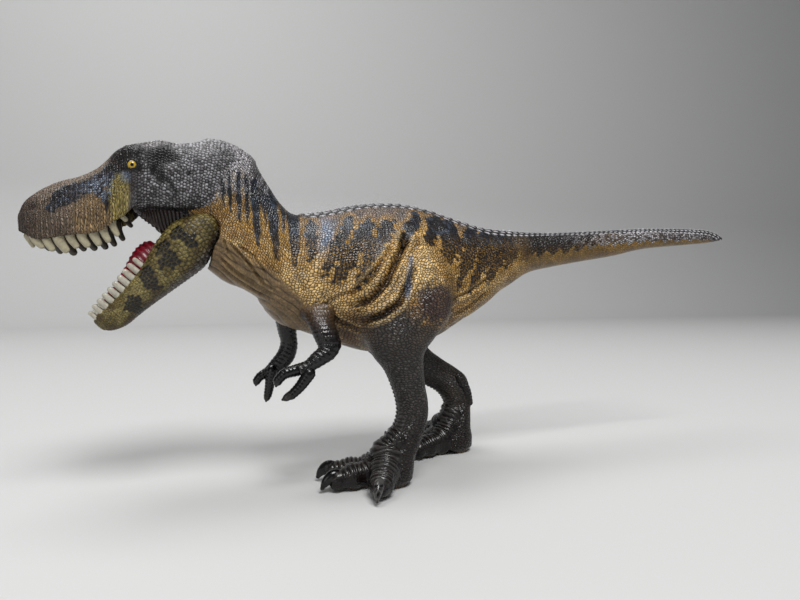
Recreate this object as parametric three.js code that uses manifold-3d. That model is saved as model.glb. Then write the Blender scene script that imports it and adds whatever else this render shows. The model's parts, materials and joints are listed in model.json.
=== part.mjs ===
// A painted soft-vinyl toy tyrannosaur with a hinged lower jaw, standing on its two feet.
// Millimetres, +Z up. The head points along -X and the figure's left side faces -Y.
import * as THREE from 'three';
import { mergeVertices } from 'three/addons/utils/BufferGeometryUtils.js';
import Module from 'manifold-3d';

// Clearances and walls
const fitGap = 0.3;
const jawGap = 0.6;
const shellWall = 3.2;
const overrun = 5;
const weld = 0.03;
const needle = 0.003;

// Torso, from the neck's face to the tail joint
const bodyLength = 125;
const bodyDepth = 67;
const bodyWidth = 46;
const hipHeight = 88;

// Knobs in two rows down the back, and the folds between belly and thigh
const ridgeKnobCount = 20;
const ridgeKnobWidth = 3.6;
const ridgeRise = 1.3;
const ridgeSink = 2.4;
const ridgeSpread = 3;
const foldWidth = 3.4;

// Tail
const tailLength = 144;
const tailPlugLength = 10;

// Head, measured from the jaw's hinge
const headLength = 62;
const headHeight = 37.3;
const headWidth = 35.6;
const neckPlugLength = 10;
const palateThickness = 3;
const lipThickness = 1.2;
const throatWidth = 16.6;
const throatRadius = 7.8;

// Lower jaw, measured from its hinge
const jawLength = 51;
const jawDepth = 21.5;
const jawWidth = 31.6;
const jawWall = 2.7;
const jawDropDegrees = 44;
const jawClosedDegrees = 30;
const jawWiderDegrees = 4;
const jawSweepSteps = 4;
const pinDiameter = 3;
const pinLength = 28;

// Teeth, gums and tongue
const gumDiameter = 2.6;
const upperToothLength = 6.4;
const upperToothDiameter = 2.6;
const upperToothCount = 20;
const upperToothLeanDegrees = 30;
const lowerToothLength = 4.8;
const lowerToothDiameter = 2.4;
const lowerToothCount = 20;
const lowerToothLeanDegrees = 6;
const tongueWidth = 11;

// Eyes, with the brow above each, the socket round it and the hollow of the temple behind it
const eyeDiameter = 4.8;
const eyeSink = 1.6;
const browLength = 14;
const browThickness = 5.2;
const browUp = 5;
const browSink = 2.8;
const socketLength = 8.4;
const socketHeight = 6.4;
const socketDepth = 1.5;
const templeLength = 12;
const templeHeight = 7.2;
const templeDepth = 1.6;
const templeBack = 13.5;
const templeUp = 3;

// Legs and feet
const hipSpread = 44;
const legWidth = 21.6;
const hipPegDiameter = 12;
const hipPegLength = 14;
const footLength = 42;
const toeHeight = 9.6;
const toeWidth = 9.6;
const clawLength = 7;
const clawDiameter = 4.2;
const spurLength = 15;
const spurDiameter = 3.4;

// Arms
const armLength = 34;
const armWidth = 10.4;
const shoulderSpread = 42;
const shoulderPegDiameter = 4;
const shoulderPegLength = 9;
const fingerLength = 13;
const fingerDiameter = 3.2;

// Points round a section and rings along a piece
const trunkSides = 20;
const trunkRings = 18;
const hollowSides = 12;
const hollowRings = 9;
const tailSides = 14;
const tailRings = 14;
const headSides = 18;
const headRings = 18;
const jawSides = 16;
const jawRings = 14;
const limbSides = 12;
const limbRings = 15;
const digitSides = 6;
const digitRings = 6;
const mouthRings = 13;
const gumSteps = 18;
const gumSides = 3;
const throatSteps = 8;
const throatFloorDegrees = 29;
const foldSteps = 200;
const eyeSides = 14;
const eyeRings = 10;
const roundness = 2.2;
const boxiness = 2.8;
const squareness = 7;

// Outline tables. A row holds two opposite points of a section, seen from the side, as shares
// along and up, then the section's half width as a share. Limbs add a place across as a share.
const trunkShares = [
  [-0.608, 0.772, -0.704, 0.119, 0.283],
  [-0.556, 0.732, -0.676, 0.045, 0.304],
  [-0.512, 0.65, -0.628, -0.037, 0.322],
  [-0.472, 0.537, -0.568, -0.093, 0.343],
  [-0.436, 0.437, -0.516, -0.142, 0.37],
  [-0.392, 0.37, -0.476, -0.246, 0.402],
  [-0.336, 0.366, -0.424, -0.328, 0.43],
  [-0.264, 0.39, -0.336, -0.384, 0.457],
  [-0.176, 0.431, -0.224, -0.463, 0.485],
  [-0.088, 0.451, -0.12, -0.513, 0.496],
  [0, 0.454, -0.016, -0.503, 0.474],
  [0.088, 0.431, 0.08, -0.463, 0.435],
  [0.168, 0.392, 0.164, -0.396, 0.398],
  [0.248, 0.352, 0.248, -0.301, 0.357],
  [0.32, 0.32, 0.324, -0.219, 0.317],
  [0.388, 0.31, 0.388, -0.127, 0.274],
];
// Size of the ridge between two knobs, and the part of its length over which it rises or sinks
const ridgeValleyShare = 0.45;
const ridgeEaseShare = 0.25;

// Places of the fold as shares of the trunk's table, each with its degrees round the section
const foldPlaceShares = [[0.645, 148], [0.612, 170], [0.578, 184], [0.535, 196], [0.49, 208]];
const foldTaperShares = [0.4, 0.9, 1, 1, 0.8, 0.3];

const tailShares = [
  [0, 0.5, 0, -0.5, 0.5],
  [0.042, 0.497, 0.042, -0.376, 0.432],
  [0.12, 0.493, 0.12, -0.162, 0.356],
  [0.221, 0.51, 0.221, -0.052, 0.304],
  [0.347, 0.552, 0.347, 0.055, 0.264],
  [0.478, 0.6, 0.478, 0.159, 0.228],
  [0.615, 0.652, 0.615, 0.3, 0.188],
  [0.758, 0.679, 0.758, 0.376, 0.152],
  [0.907, 0.686, 0.907, 0.445, 0.116],
  [0.969, 0.641, 0.969, 0.486, 0.08],
  [1, 0.586, 1, 0.521, 0.036],
];
const headShares = [
  [0.216, 0.93, 0.119, 0.198, 0.407],
  [0.119, 0.965, 0.055, 0.185, 0.458],
  [0.006, 0.935, -0.026, 0.18, 0.489],
  [-0.106, 0.9, -0.123, 0.177, 0.5],
  [-0.211, 0.925, -0.227, 0.172, 0.483],
  [-0.316, 0.885, -0.324, 0.166, 0.449],
  [-0.413, 0.825, -0.413, 0.145, 0.41],
  [-0.485, 0.735, -0.477, 0.08, 0.382],
  [-0.566, 0.6, -0.566, -0.016, 0.36],
  [-0.663, 0.505, -0.655, -0.056, 0.337],
  [-0.76, 0.452, -0.752, -0.097, 0.309],
  [-0.845, 0.38, -0.838, -0.126, 0.275],
  [-0.912, 0.278, -0.902, -0.131, 0.23],
  [-0.957, 0.168, -0.942, -0.097, 0.169],
  [-0.984, 0.065, -0.976, -0.029, 0.079],
];
const jawShares = [
  [0.157, 0, 0.157, -0.186, 0.316],
  [0.127, 0.163, 0.118, -0.326, 0.475],
  [0.043, 0.288, 0.047, -0.433, 0.494],
  [-0.039, 0.372, -0.02, -0.474, 0.5],
  [-0.118, 0.414, -0.098, -0.558, 0.491],
  [-0.196, 0.4, -0.176, -0.586, 0.475],
  [-0.275, 0.367, -0.275, -0.567, 0.449],
  [-0.373, 0.302, -0.373, -0.54, 0.418],
  [-0.471, 0.233, -0.471, -0.512, 0.38],
  [-0.608, 0.153, -0.608, -0.474, 0.325],
  [-0.745, 0.102, -0.745, -0.447, 0.28],
  [-0.853, 0.084, -0.853, -0.437, 0.24],
  [-0.922, 0.074, -0.922, -0.391, 0.2],
  [-0.971, 0.056, -0.971, -0.302, 0.146],
  [-1, -0.028, -1, -0.195, 0.07],
];
const troughFloorShares = [
  [0.2, 0.8, 0.2, -0.8],
  [0.05, 0.8, 0.05, -0.56],
  [-0.04, 0.8, -0.04, -0.455],
  [-0.16, 0.8, -0.16, -0.43],
  [-0.3, 0.8, -0.3, -0.35],
  [-0.5, 0.8, -0.5, -0.29],
  [-0.7, 0.8, -0.7, -0.26],
  [-0.84, 0.8, -0.84, -0.22],
  [-0.91, 0.8, -0.91, -0.13],
];
const tongueShares = [
  [-0.26, 0.2, -0.25, -0.3, 0.36],
  [-0.31, 0.42, -0.3, -0.3, 0.5],
  [-0.36, 0.47, -0.36, -0.29, 0.5],
  [-0.42, 0.47, -0.43, -0.28, 0.5],
  [-0.49, 0.43, -0.5, -0.27, 0.47],
  [-0.6, 0.33, -0.6, -0.25, 0.44],
  [-0.72, 0.24, -0.72, -0.23, 0.4],
  [-0.82, 0.2, -0.8, -0.16, 0.3],
  [-0.87, 0.12, -0.84, -0.06, 0.18],
];
const leftLegShares = [
  [-0.102, 1.125, 0.057, 1.125, 0.324, -0.341],
  [-0.198, 1.048, 0.142, 1.051, 0.44, -0.42],
  [-0.245, 0.92, 0.168, 0.92, 0.5, -0.489],
  [-0.265, 0.795, 0.152, 0.795, 0.5, -0.523],
  [-0.256, 0.693, 0.081, 0.705, 0.463, -0.534],
  [-0.226, 0.614, 0.022, 0.625, 0.412, -0.523],
  [-0.17, 0.545, 0.018, 0.551, 0.361, -0.511],
  [-0.13, 0.466, 0.03, 0.466, 0.315, -0.5],
  [-0.1, 0.382, 0.05, 0.382, 0.292, -0.477],
  [-0.1, 0.309, 0.05, 0.305, 0.292, -0.466],
  [-0.131, 0.244, 0.027, 0.227, 0.319, -0.455],
  [-0.185, 0.176, -0.005, 0.142, 0.361, -0.443],
  [-0.226, 0.114, -0.028, 0.068, 0.389, -0.432],
  [-0.237, 0.045, -0.039, -0.034, 0.389, -0.432],
];
const rightLegShares = [
  [-0.114, 1.091, 0.091, 1.125, 0.324, 0.341],
  [-0.182, 0.977, 0.17, 1.045, 0.44, 0.42],
  [-0.205, 0.841, 0.216, 0.932, 0.5, 0.489],
  [-0.182, 0.705, 0.239, 0.818, 0.491, 0.523],
  [-0.102, 0.591, 0.239, 0.682, 0.435, 0.53],
  [0.011, 0.5, 0.259, 0.594, 0.389, 0.523],
  [0.136, 0.439, 0.341, 0.527, 0.343, 0.511],
  [0.228, 0.389, 0.426, 0.473, 0.31, 0.5],
  [0.31, 0.345, 0.49, 0.42, 0.292, 0.489],
  [0.354, 0.295, 0.513, 0.341, 0.287, 0.477],
  [0.366, 0.239, 0.513, 0.25, 0.292, 0.466],
  [0.35, 0.188, 0.51, 0.153, 0.319, 0.455],
  [0.3, 0.143, 0.506, 0.08, 0.361, 0.443],
  [0.27, 0.057, 0.497, -0.034, 0.389, 0.432],
];
// Arms: shares of the arm's drop along and up from the shoulder, of its width and of the spread
const leftArmShares = [
  [-0.18, 0.06, 0.18, 0.06, 0.4, -0.27],
  [-0.17, -0.12, 0.15, -0.1, 0.5, -0.4],
  [-0.12, -0.3, 0.18, -0.27, 0.44, -0.5],
  [-0.07, -0.42, 0.22, -0.44, 0.4, -0.53],
  [-0.06, -0.47, 0.14, -0.58, 0.37, -0.55],
  [-0.13, -0.53, 0.03, -0.65, 0.32, -0.56],
  [-0.21, -0.61, -0.1, -0.72, 0.28, -0.56],
  [-0.3, -0.65, -0.19, -0.78, 0.27, -0.56],
];
const rightArmShares = [
  [-0.3, 0.06, 0.07, 0.1, 0.4, 0.27],
  [-0.38, -0.14, -0.1, -0.13, 0.5, 0.4],
  [-0.34, -0.35, -0.09, -0.36, 0.44, 0.47],
  [-0.3, -0.5, -0.07, -0.56, 0.4, 0.5],
  [-0.34, -0.63, -0.12, -0.74, 0.36, 0.5],
  [-0.44, -0.76, -0.24, -0.87, 0.3, 0.5],
  [-0.52, -0.86, -0.37, -0.96, 0.27, 0.5],
];
// Fingers: their middle line in shares of the finger's length from the wrist, along and up
const leftFingerShares = [
  [[0.12, 0.05], [-0.2, -0.02], [-0.5, -0.1], [-0.7, -0.28], [-0.75, -0.45]],
  [[0.18, -0.1], [0.04, -0.3], [-0.12, -0.5], [-0.34, -0.7], [-0.6, -0.82]],
];
const rightFingerShares = [
  [[0.1, 0.1], [-0.12, -0.02], [-0.3, -0.12], [-0.42, -0.26], [-0.45, -0.42]],
  [[0.08, 0.12], [0.02, -0.2], [-0.02, -0.48], [-0.07, -0.74], [-0.13, -0.95]],
];
const fingerTaperShares = [1, 1, 0.86, 0.7, 0.2];
// Toes: a turn to the inner side in degrees, then reach, as a share of the foot's length
const toeShares = [
  { turnDegrees: 25, reachShare: 0.56 },
  { turnDegrees: -5, reachShare: 0.53 },
  { turnDegrees: -62, reachShare: 0.48 },
];
const toeTaperShares = [
  [0, 0.9, 1],
  [0.25, 1.02, 1.05],
  [0.5, 1, 1],
  [0.75, 1, 0.98],
  [0.92, 0.86, 0.86],
  [1, 0.5, 0.5],
];
// Inner toe at the back of the ankle: its middle line in shares of its own length
const spurShares = [[-0.2, 0.05], [0.05, -0.4], [0.18, -0.8], [0.16, -1.1]];
const spurTaperShares = [1, 1, 0.8, 0.2];
const toothSizeShares = [0.5, 0.66, 0.84, 0.95, 1, 1, 0.94, 0.84, 0.72, 0.6];
// Lift of a toe's middle as a share of its half height, and the taper of a claw to its point
const toeLiftShare = 0.9;
const clawTaperShares = [1, 0.8, 0.1];
// Throat block: places about the hinge as shares of the head's length and height
const throatWebShare = -0.38;
const throatWebLowShare = 0.03;
const throatWebHighShare = 0.16;
const throatRoofShare = 0.32;
// Rim of the jaw that carries teeth, as a share of its length, and the gum's seat in the wall
const gumStartShare = -0.35;
const gumSeatShare = 0.4;
// Where pieces meet, as shares of the torso, the head or the jaw
const hingeXShare = -0.699;
const hingeZShare = 0.248;
const shoulderXShare = -0.325;
const shoulderZShare = -0.21;
const leftSpurBackShare = 0;
const rightSpurBackShare = 0.7;
const eyeXShare = -0.361;
const eyeZShare = 0.593;
// Rows of the tables where something starts
const ridgeFirstRow = 6;
const ridgeLastRow = 14;
const neckFaceRow = 2;
const neckFootRow = 4;
const cheekRow = 5;
const gumRow = 2;
const ankleRow = 8;

const wasm = await Module();
wasm.setup();

// Solids and meshes

// A closed geometry as a solid
function solidOf(geometry) {
  const bare = new THREE.BufferGeometry();
  bare.setAttribute('position', geometry.getAttribute('position'));
  bare.setIndex(geometry.getIndex());
  const merged = mergeVertices(bare);
  return new wasm.Manifold(new wasm.Mesh({
    numProp: 3,
    vertProperties: new Float32Array(merged.getAttribute('position').array),
    triVerts: new Uint32Array(merged.getIndex().array),
  }));
}

// Faces with no edge shorter than the weld and no needle: a short edge shrinks to one corner,
// and a needle swaps its long edge for the one across, where the surface stays closed
function tidied(points, faces) {
  const gap = (a, b) => points[a].distanceTo(points[b]);
  const around = new Map(points.map((_point, n) => [n, new Set()]));
  const across = new Map();
  faces.forEach((face, n) => face.forEach((a, k) => {
    const b = face[(k + 1) % 3];
    around.get(a).add(b);
    around.get(b).add(a);
    across.set(`${a} ${b}`, n);
  }));
  const touched = new Set();
  const free = (corners) => corners.every((corner) => !touched.has(corner));
  const close = (corners) => corners.forEach((corner) => {
    touched.add(corner);
    around.get(corner).forEach((other) => touched.add(other));
  });
  const renamed = new Map();
  const flipped = new Map();
  faces.forEach((face, n) => {
    const [short, , long] = [0, 1, 2]
      .map((k) => [face[k], face[(k + 1) % 3], face[(k + 2) % 3]])
      .sort((p, q) => gap(p[0], p[1]) - gap(q[0], q[1]));
    if (gap(short[0], short[1]) < weld) {
      const [keep, drop] = short;
      const shared = [...around.get(keep)].filter((other) => around.get(drop).has(other));
      if (shared.length === 2 && free([keep, drop])) {
        renamed.set(drop, keep);
        close([keep, drop]);
      }
      return;
    }
    const [a, b, c] = long;
    const side = points[b].clone().sub(points[a]);
    const height = side.clone().cross(points[c].clone().sub(points[a])).length() / side.length();
    const other = across.get(`${b} ${a}`);
    const d = faces[other].find((corner) => corner !== a && corner !== b);
    if (height < needle && !around.get(c).has(d) && free([a, b, c, d])) {
      flipped.set(n, [a, d, c]);
      flipped.set(other, [d, b, c]);
      close([a, b, c, d]);
    }
  });
  if (renamed.size + flipped.size === 0) {
    return faces;
  }
  const next = faces
    .map((face, n) => (flipped.get(n) ?? face).map((corner) => renamed.get(corner) ?? corner))
    .filter(([a, b, c]) => a !== b && b !== c && c !== a);
  return tidied(points, next);
}

// A solid as a geometry with flat shaded faces
function geometryOf(solid) {
  const mesh = solid.getMesh();
  const points = [];
  for (let i = 0; i < mesh.vertProperties.length; i += 3) {
    points.push(new THREE.Vector3().fromArray(mesh.vertProperties, i));
  }
  const faces = [];
  for (let i = 0; i < mesh.triVerts.length; i += 3) {
    faces.push([...mesh.triVerts.slice(i, i + 3)]);
  }
  const corners = tidied(points, faces).flat().map((corner) => points[corner]);
  const geometry = new THREE.BufferGeometry().setFromPoints(corners);
  geometry.computeVertexNormals();
  return geometry;
}

function joined(solids) {
  return solids.reduce((sum, solid) => sum.add(solid));
}

function cutBy(solid, cutters) {
  return cutters.reduce((rest, cutter) => rest.subtract(cutter), solid);
}

// Closed skin over rings of points that all have the same count, with a fan on each end
function loft(rings) {
  const sides = rings[0].length;
  const middle = (ring) => ring
    .reduce((sum, point) => sum.add(point), new THREE.Vector3())
    .divideScalar(sides);
  const points = [...rings.flat(), middle(rings[0]), middle(rings[rings.length - 1])];
  const index = [];
  for (let k = 0; k < rings.length - 1; k += 1) {
    for (let i = 0; i < sides; i += 1) {
      const a = k * sides + i;
      const b = k * sides + ((i + 1) % sides);
      index.push(a, b, a + sides, b, b + sides, a + sides);
    }
  }
  const first = points.length - 2;
  const last = points.length - 1;
  const lastRing = (rings.length - 1) * sides;
  for (let i = 0; i < sides; i += 1) {
    const next = (i + 1) % sides;
    index.push(first, next, i, last, lastRing + i, lastRing + next);
  }
  const geometry = new THREE.BufferGeometry().setFromPoints(points);
  geometry.setIndex(index);
  const solid = solidOf(geometry);
  if (solid.volume() > 0) {
    return solid;
  }
  geometry.setIndex(index.reverse());
  return solidOf(geometry);
}

// Rows of a table, spread evenly to a new count with a smooth curve through each column
function spread(rows, count) {
  const at = (k) => rows[Math.min(Math.max(k, 0), rows.length - 1)];
  return Array.from({ length: count }, (_, n) => {
    const place = (n / (count - 1)) * (rows.length - 1);
    const k = Math.min(Math.floor(place), rows.length - 2);
    const t = place - k;
    return rows[k].map((_value, c) => {
      const [p, q, r, s] = [at(k - 1)[c], at(k)[c], at(k + 1)[c], at(k + 2)[c]];
      return q + 0.5 * t * (r - p + t * (2 * p - 5 * q + 4 * r - s + t * (3 * (q - r) + s - p)));
    });
  });
}

// Shares turned into millimetres: along and up from an origin, half width and place across
function placed(rows, origin, along, up, width, across = 0) {
  return rows.map(([x1, z1, x2, z2, w, y = 0]) => [
    origin.x + x1 * along,
    origin.z + z1 * up,
    origin.x + x2 * along,
    origin.z + z2 * up,
    w * width,
    origin.y + y * across,
  ]);
}

// Ring round two opposite points of a section, made larger by grow
function sectionRing([x1, z1, x2, z2, halfWidth, y], sides, power, grow) {
  const centre = new THREE.Vector3((x1 + x2) / 2, y, (z1 + z2) / 2);
  const half = new THREE.Vector3((x1 - x2) / 2, 0, (z1 - z2) / 2);
  const reach = half.length() + grow;
  half.setLength(Math.max(reach, fitGap));
  const wide = Math.max(halfWidth + grow, fitGap);
  return Array.from({ length: sides }, (_, i) => {
    const angle = ((i + 0.5) / sides) * 2 * Math.PI;
    const share = (value) => Math.sign(value) * Math.abs(value) ** (2 / power);
    return centre.clone()
      .addScaledVector(half, share(Math.sin(angle)))
      .add(new THREE.Vector3(0, wide * share(Math.cos(angle)), 0));
  });
}

// A row moved along the line of the piece by a length
function movedRow(row, from, length) {
  const step = new THREE.Vector2(
    (row[0] + row[2] - from[0] - from[2]) / 2,
    (row[1] + row[3] - from[1] - from[3]) / 2,
  ).setLength(length);
  return [row[0] + step.x, row[1] + step.y, row[2] + step.x, row[3] + step.y, row[4], row[5]];
}

// Solid through rows, grown by grow across and made longer by firstEnd and lastEnd
function sweep(rows, { rings, sides, power = roundness, grow = 0, firstEnd = grow, lastEnd = grow }) {
  const all = spread(rows, rings);
  const last = all.length - 1;
  const first = movedRow(all[0], all[1], firstEnd);
  const final = movedRow(all[last], all[last - 1], lastEnd);
  all[0] = firstEnd ? first : all[0];
  all[last] = lastEnd ? final : all[last];
  return loft(all.map((row) => sectionRing(row, sides, power, grow)));
}

// Tapered round tube through points, pointed or blunt by its taper shares
function digit(points, diameter, taperShares, grow = 0) {
  const curve = new THREE.CatmullRomCurve3(points);
  const frames = curve.computeFrenetFrames(digitRings - 1, false);
  const taper = spread(taperShares.map((share) => [share]), digitRings);
  return loft(Array.from({ length: digitRings }, (_, k) => {
    const radius = Math.max((taper[k][0] * diameter) / 2, fitGap) + grow;
    const middle = curve.getPointAt(k / (digitRings - 1));
    return Array.from({ length: digitSides }, (__, i) => {
      const angle = (i / digitSides) * 2 * Math.PI;
      return middle.clone()
        .addScaledVector(frames.normals[k], radius * Math.cos(angle))
        .addScaledVector(frames.binormals[k], radius * Math.sin(angle));
    });
  }));
}

// Round pin along Y, centred at a place
function crossPin(diameter, length, centre, grow = 0) {
  const geometry = new THREE.CylinderGeometry(
    diameter / 2 + grow,
    diameter / 2 + grow,
    length + 2 * grow,
    limbSides,
  );
  geometry.translate(centre.x, centre.y, centre.z);
  return solidOf(geometry);
}

const hinge = new THREE.Vector3(hingeXShare * bodyLength, 0, hipHeight + hingeZShare * bodyDepth);
const centreLine = new THREE.Vector3();
const crossways = new THREE.Vector3(0, 1, 0);

// Torso and tail

const hipCentre = new THREE.Vector3(0, 0, hipHeight);
const trunkRows = placed(trunkShares, hipCentre, bodyLength, bodyDepth, bodyWidth);
const tailRow = trunkRows[trunkRows.length - 1];
const tailRoot = new THREE.Vector3(tailRow[0] + fitGap, 0, (tailRow[1] + tailRow[3]) / 2);
const tailRows = placed(tailShares, tailRoot, tailLength, tailRow[1] - tailRow[3], 2 * tailRow[4]);

function trunkOuter(grow = 0) {
  return sweep(trunkRows, { rings: trunkRings, sides: trunkSides, grow });
}

// Beaded keel on one side of the back's middle line, which rises and sinks towards its ends
function backRidge(side) {
  const rows = spread(trunkRows.slice(ridgeFirstRow, ridgeLastRow + 1), 2 * ridgeKnobCount + 1);
  return loft(rows.map(([x1, z1, x2, z2], k) => {
    const away = Math.min(k, rows.length - 1 - k) / (ridgeEaseShare * rows.length);
    const swell = Math.min(away, 1) * (k % 2 ? 1 : ridgeValleyShare);
    const up = new THREE.Vector2(x1 - x2, z1 - z2).normalize();
    const top = up.clone().multiplyScalar(ridgeRise * swell);
    const low = up.clone().multiplyScalar(-ridgeSink);
    const wide = (ridgeKnobWidth / 2) * Math.max(swell, ridgeValleyShare);
    const row = [x1 + top.x, z1 + top.y, x1 + low.x, z1 + low.y, wide, (side * ridgeSpread) / 2];
    return sectionRing(row, digitSides, roundness, 0);
  }));
}

// Groove of a fold on one side, along places on the trunk's skin
function flankFold(side) {
  const rows = spread(trunkRows, foldSteps + 1);
  const line = foldPlaceShares.map(([placeShare, degrees]) => {
    const [x1, z1, x2, z2, w] = rows[Math.round(placeShare * foldSteps)];
    const angle = THREE.MathUtils.degToRad(degrees);
    const lift = Math.sin(angle) / 2;
    return new THREE.Vector3(
      (x1 + x2) / 2 + lift * (x1 - x2),
      -side * w * Math.cos(angle),
      (z1 + z2) / 2 + lift * (z1 - z2),
    );
  });
  return digit(line, foldWidth, foldTaperShares);
}

function trunkHollow() {
  return sweep(trunkRows.slice(neckFaceRow), {
    rings: hollowRings,
    sides: hollowSides,
    grow: -shellWall,
    firstEnd: 0,
    lastEnd: overrun,
  });
}

// The tail's plug fills the torso's open end
function tailPlug() {
  const inner = movedRow(tailRow, tailRows[1], tailPlugLength);
  const outer = movedRow(tailRow, inner, overrun);
  return sweep([inner, tailRow, outer], {
    rings: 3,
    sides: hollowSides,
    grow: -(shellWall + fitGap),
    firstEnd: 0,
    lastEnd: 0,
  });
}

function tail() {
  return joined([sweep(tailRows, { rings: tailRings, sides: tailSides }), tailPlug()]);
}

// Head

const headRows = placed(headShares, hinge, headLength, headHeight, headWidth);

function headOuter(grow = 0) {
  return sweep(headRows, { rings: headRings, sides: headSides, power: boxiness, grow });
}

// The plug on the back of the head goes down the neck, towards the middle of its lower end
function neckPlugRows(length) {
  const [x1, z1, x2, z2, w, y] = headRows[0];
  const [a1, b1, a2, b2] = trunkRows[neckFootRow];
  const way = new THREE.Vector2((a1 + a2 - x1 - x2) / 2, (b1 + b2 - z1 - z2) / 2).setLength(length);
  return [headRows[1], headRows[0], [x1 + way.x, z1 + way.y, x2 + way.x, z2 + way.y, w, y]];
}

function neckPlug(grow = 0) {
  return sweep(neckPlugRows(neckPlugLength), {
    rings: 3,
    sides: hollowSides,
    power: boxiness,
    grow: grow - shellWall - fitGap,
    firstEnd: 0,
    lastEnd: grow,
  });
}

function neckPlugBore() {
  return sweep(neckPlugRows(neckPlugLength + overrun), {
    rings: 3,
    sides: hollowSides,
    power: boxiness,
    grow: -2 * shellWall - fitGap,
    firstEnd: 0,
    lastEnd: 0,
  });
}

function headHollow() {
  return sweep(headRows, {
    rings: hollowRings,
    sides: hollowSides,
    power: boxiness,
    grow: -shellWall,
    firstEnd: -shellWall,
    lastEnd: -shellWall,
  });
}

// Rows of the mouth's roof, between two heights above the lip's edge
const mouthRows = spread(headRows.slice(cheekRow), mouthRings).slice(0, -1);
const mouthVault = gumDiameter + 2 * fitGap;

function mouthBand(low, high, inset, grow = 0) {
  const rows = mouthRows.map(([, , x, z, w, y]) => (
    [x, z + high, x, z + low, Math.max(w - inset, fitGap), y]));
  return sweep(rows, { rings: rows.length, sides: limbSides, power: squareness, grow });
}

// Throat block between the jaw's side arms, round about the hinge
function throatBlock(grow = 0) {
  const outline = new THREE.Shape();
  const radius = throatRadius + grow;
  const web = new THREE.Vector2(
    throatWebShare * headLength - grow,
    throatWebLowShare * headHeight - grow,
  );
  const roof = throatRoofShare * headHeight + grow;
  const floorAngle = Math.PI + THREE.MathUtils.degToRad(throatFloorDegrees);
  outline.moveTo(radius, 0);
  outline.lineTo(radius, roof);
  outline.lineTo(web.x, roof);
  outline.lineTo(web.x, throatWebHighShare * headHeight);
  outline.quadraticCurveTo(web.x + throatRadius / 2, web.y, -radius, -radius / 2);
  outline.absarc(0, 0, radius, floorAngle, 2 * Math.PI, false);
  const width = throatWidth + 2 * grow;
  const geometry = new THREE.ExtrudeGeometry(outline, {
    depth: width,
    bevelEnabled: false,
    curveSegments: throatSteps,
  });
  geometry.translate(0, 0, -width / 2);
  geometry.rotateX(Math.PI / 2);
  geometry.translate(hinge.x, hinge.y, hinge.z);
  return solidOf(geometry);
}

function mouthLining(grow = 0) {
  return joined([
    mouthBand(mouthVault, mouthVault + palateThickness, shellWall + fitGap, grow),
    throatBlock(grow),
  ]);
}

// Teeth stand on a gum that runs round the inside of the lip, from one side to the other
function gumPath(rows, inset, { useTop, height }) {
  const wide = rows.filter((row) => row[4] - inset > gumDiameter);
  const side = (sign) => wide.map(([x1, z1, x2, z2, w]) => {
    const y = sign * (w - inset);
    return useTop ? new THREE.Vector3(x1, y, z1 + height) : new THREE.Vector3(x2, y, z2 + height);
  });
  return new THREE.CatmullRomCurve3([...side(-1), ...side(1).reverse()]);
}

function gumTube(path, grow = 0) {
  const shape = new THREE.Shape().absarc(0, 0, gumDiameter / 2 + grow, 0, 2 * Math.PI, false);
  return solidOf(new THREE.ExtrudeGeometry(shape, {
    steps: gumSteps,
    curveSegments: gumSides,
    bevelEnabled: false,
    extrudePath: path,
  }));
}

function toothRow(path, { count, length, diameter, lean }) {
  const teeth = Array.from({ length: count }, (_, n) => {
    const place = (n + 0.5) / count;
    const size = toothSizeShares[Math.min(n, count - 1 - n) % toothSizeShares.length];
    const tall = length * size;
    const tooth = new THREE.ConeGeometry((diameter * (1 + size)) / 4, tall, digitSides);
    tooth.translate(0, tall / 2, 0);
    tooth.applyQuaternion(new THREE.Quaternion().setFromUnitVectors(crossways, lean));
    const foot = path.getPointAt(place);
    tooth.translate(foot.x, foot.y, foot.z);
    return solidOf(tooth);
  });
  return joined([gumTube(path), ...teeth]);
}

const upperGumInset = lipThickness + 2 * fitGap + gumDiameter / 2;
const upperGumRows = mouthRows.slice(gumRow, -2);
const upperGum = gumPath(upperGumRows, upperGumInset, { useTop: false, height: gumDiameter / 2 });
const upperLean = new THREE.Vector3(0, 0, -1)
  .applyAxisAngle(crossways, -THREE.MathUtils.degToRad(upperToothLeanDegrees));

function upperTeeth() {
  return toothRow(upperGum, {
    count: upperToothCount,
    length: upperToothLength + gumDiameter / 2,
    diameter: upperToothDiameter,
    lean: upperLean,
  });
}

// Eyes sit in round seats in the side of the head
function eyeCentre(side) {
  const row = headRows[cheekRow];
  return new THREE.Vector3(
    hinge.x + eyeXShare * headLength,
    side * (row[4] - eyeSink),
    hinge.z + eyeZShare * headHeight,
  );
}

function eye(side, grow = 0) {
  const geometry = new THREE.SphereGeometry(eyeDiameter / 2 + grow, eyeSides, eyeRings);
  const centre = eyeCentre(side);
  geometry.translate(centre.x, centre.y, centre.z);
  return solidOf(geometry);
}

// Round-ended lump that is used to raise a brow or to sink a hollow
function oval(centre, length, width, height) {
  const geometry = new THREE.SphereGeometry(1, eyeSides, eyeRings);
  geometry.scale(length / 2, width / 2, height / 2);
  geometry.translate(centre.x, centre.y, centre.z);
  return solidOf(geometry);
}

function brow(side) {
  const centre = eyeCentre(side);
  centre.y += side * (eyeSink - browSink);
  centre.z += browUp;
  return oval(centre, browLength, browThickness, browThickness);
}

// A hollow's lump stands out of the head's side by all but its depth
function eyeSocket(side) {
  const centre = eyeCentre(side);
  centre.y += side * (eyeSink + socketHeight / 2 - socketDepth);
  return oval(centre, socketLength, socketHeight, socketHeight);
}

function temple(side) {
  const centre = eyeCentre(side);
  centre.x += templeBack;
  centre.y = side * (headWidth / 2 + templeHeight / 2 - templeDepth);
  centre.z += templeUp;
  return oval(centre, templeLength, templeHeight, templeHeight);
}

// Lower jaw, made level about the hinge and then turned down by its drop

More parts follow.
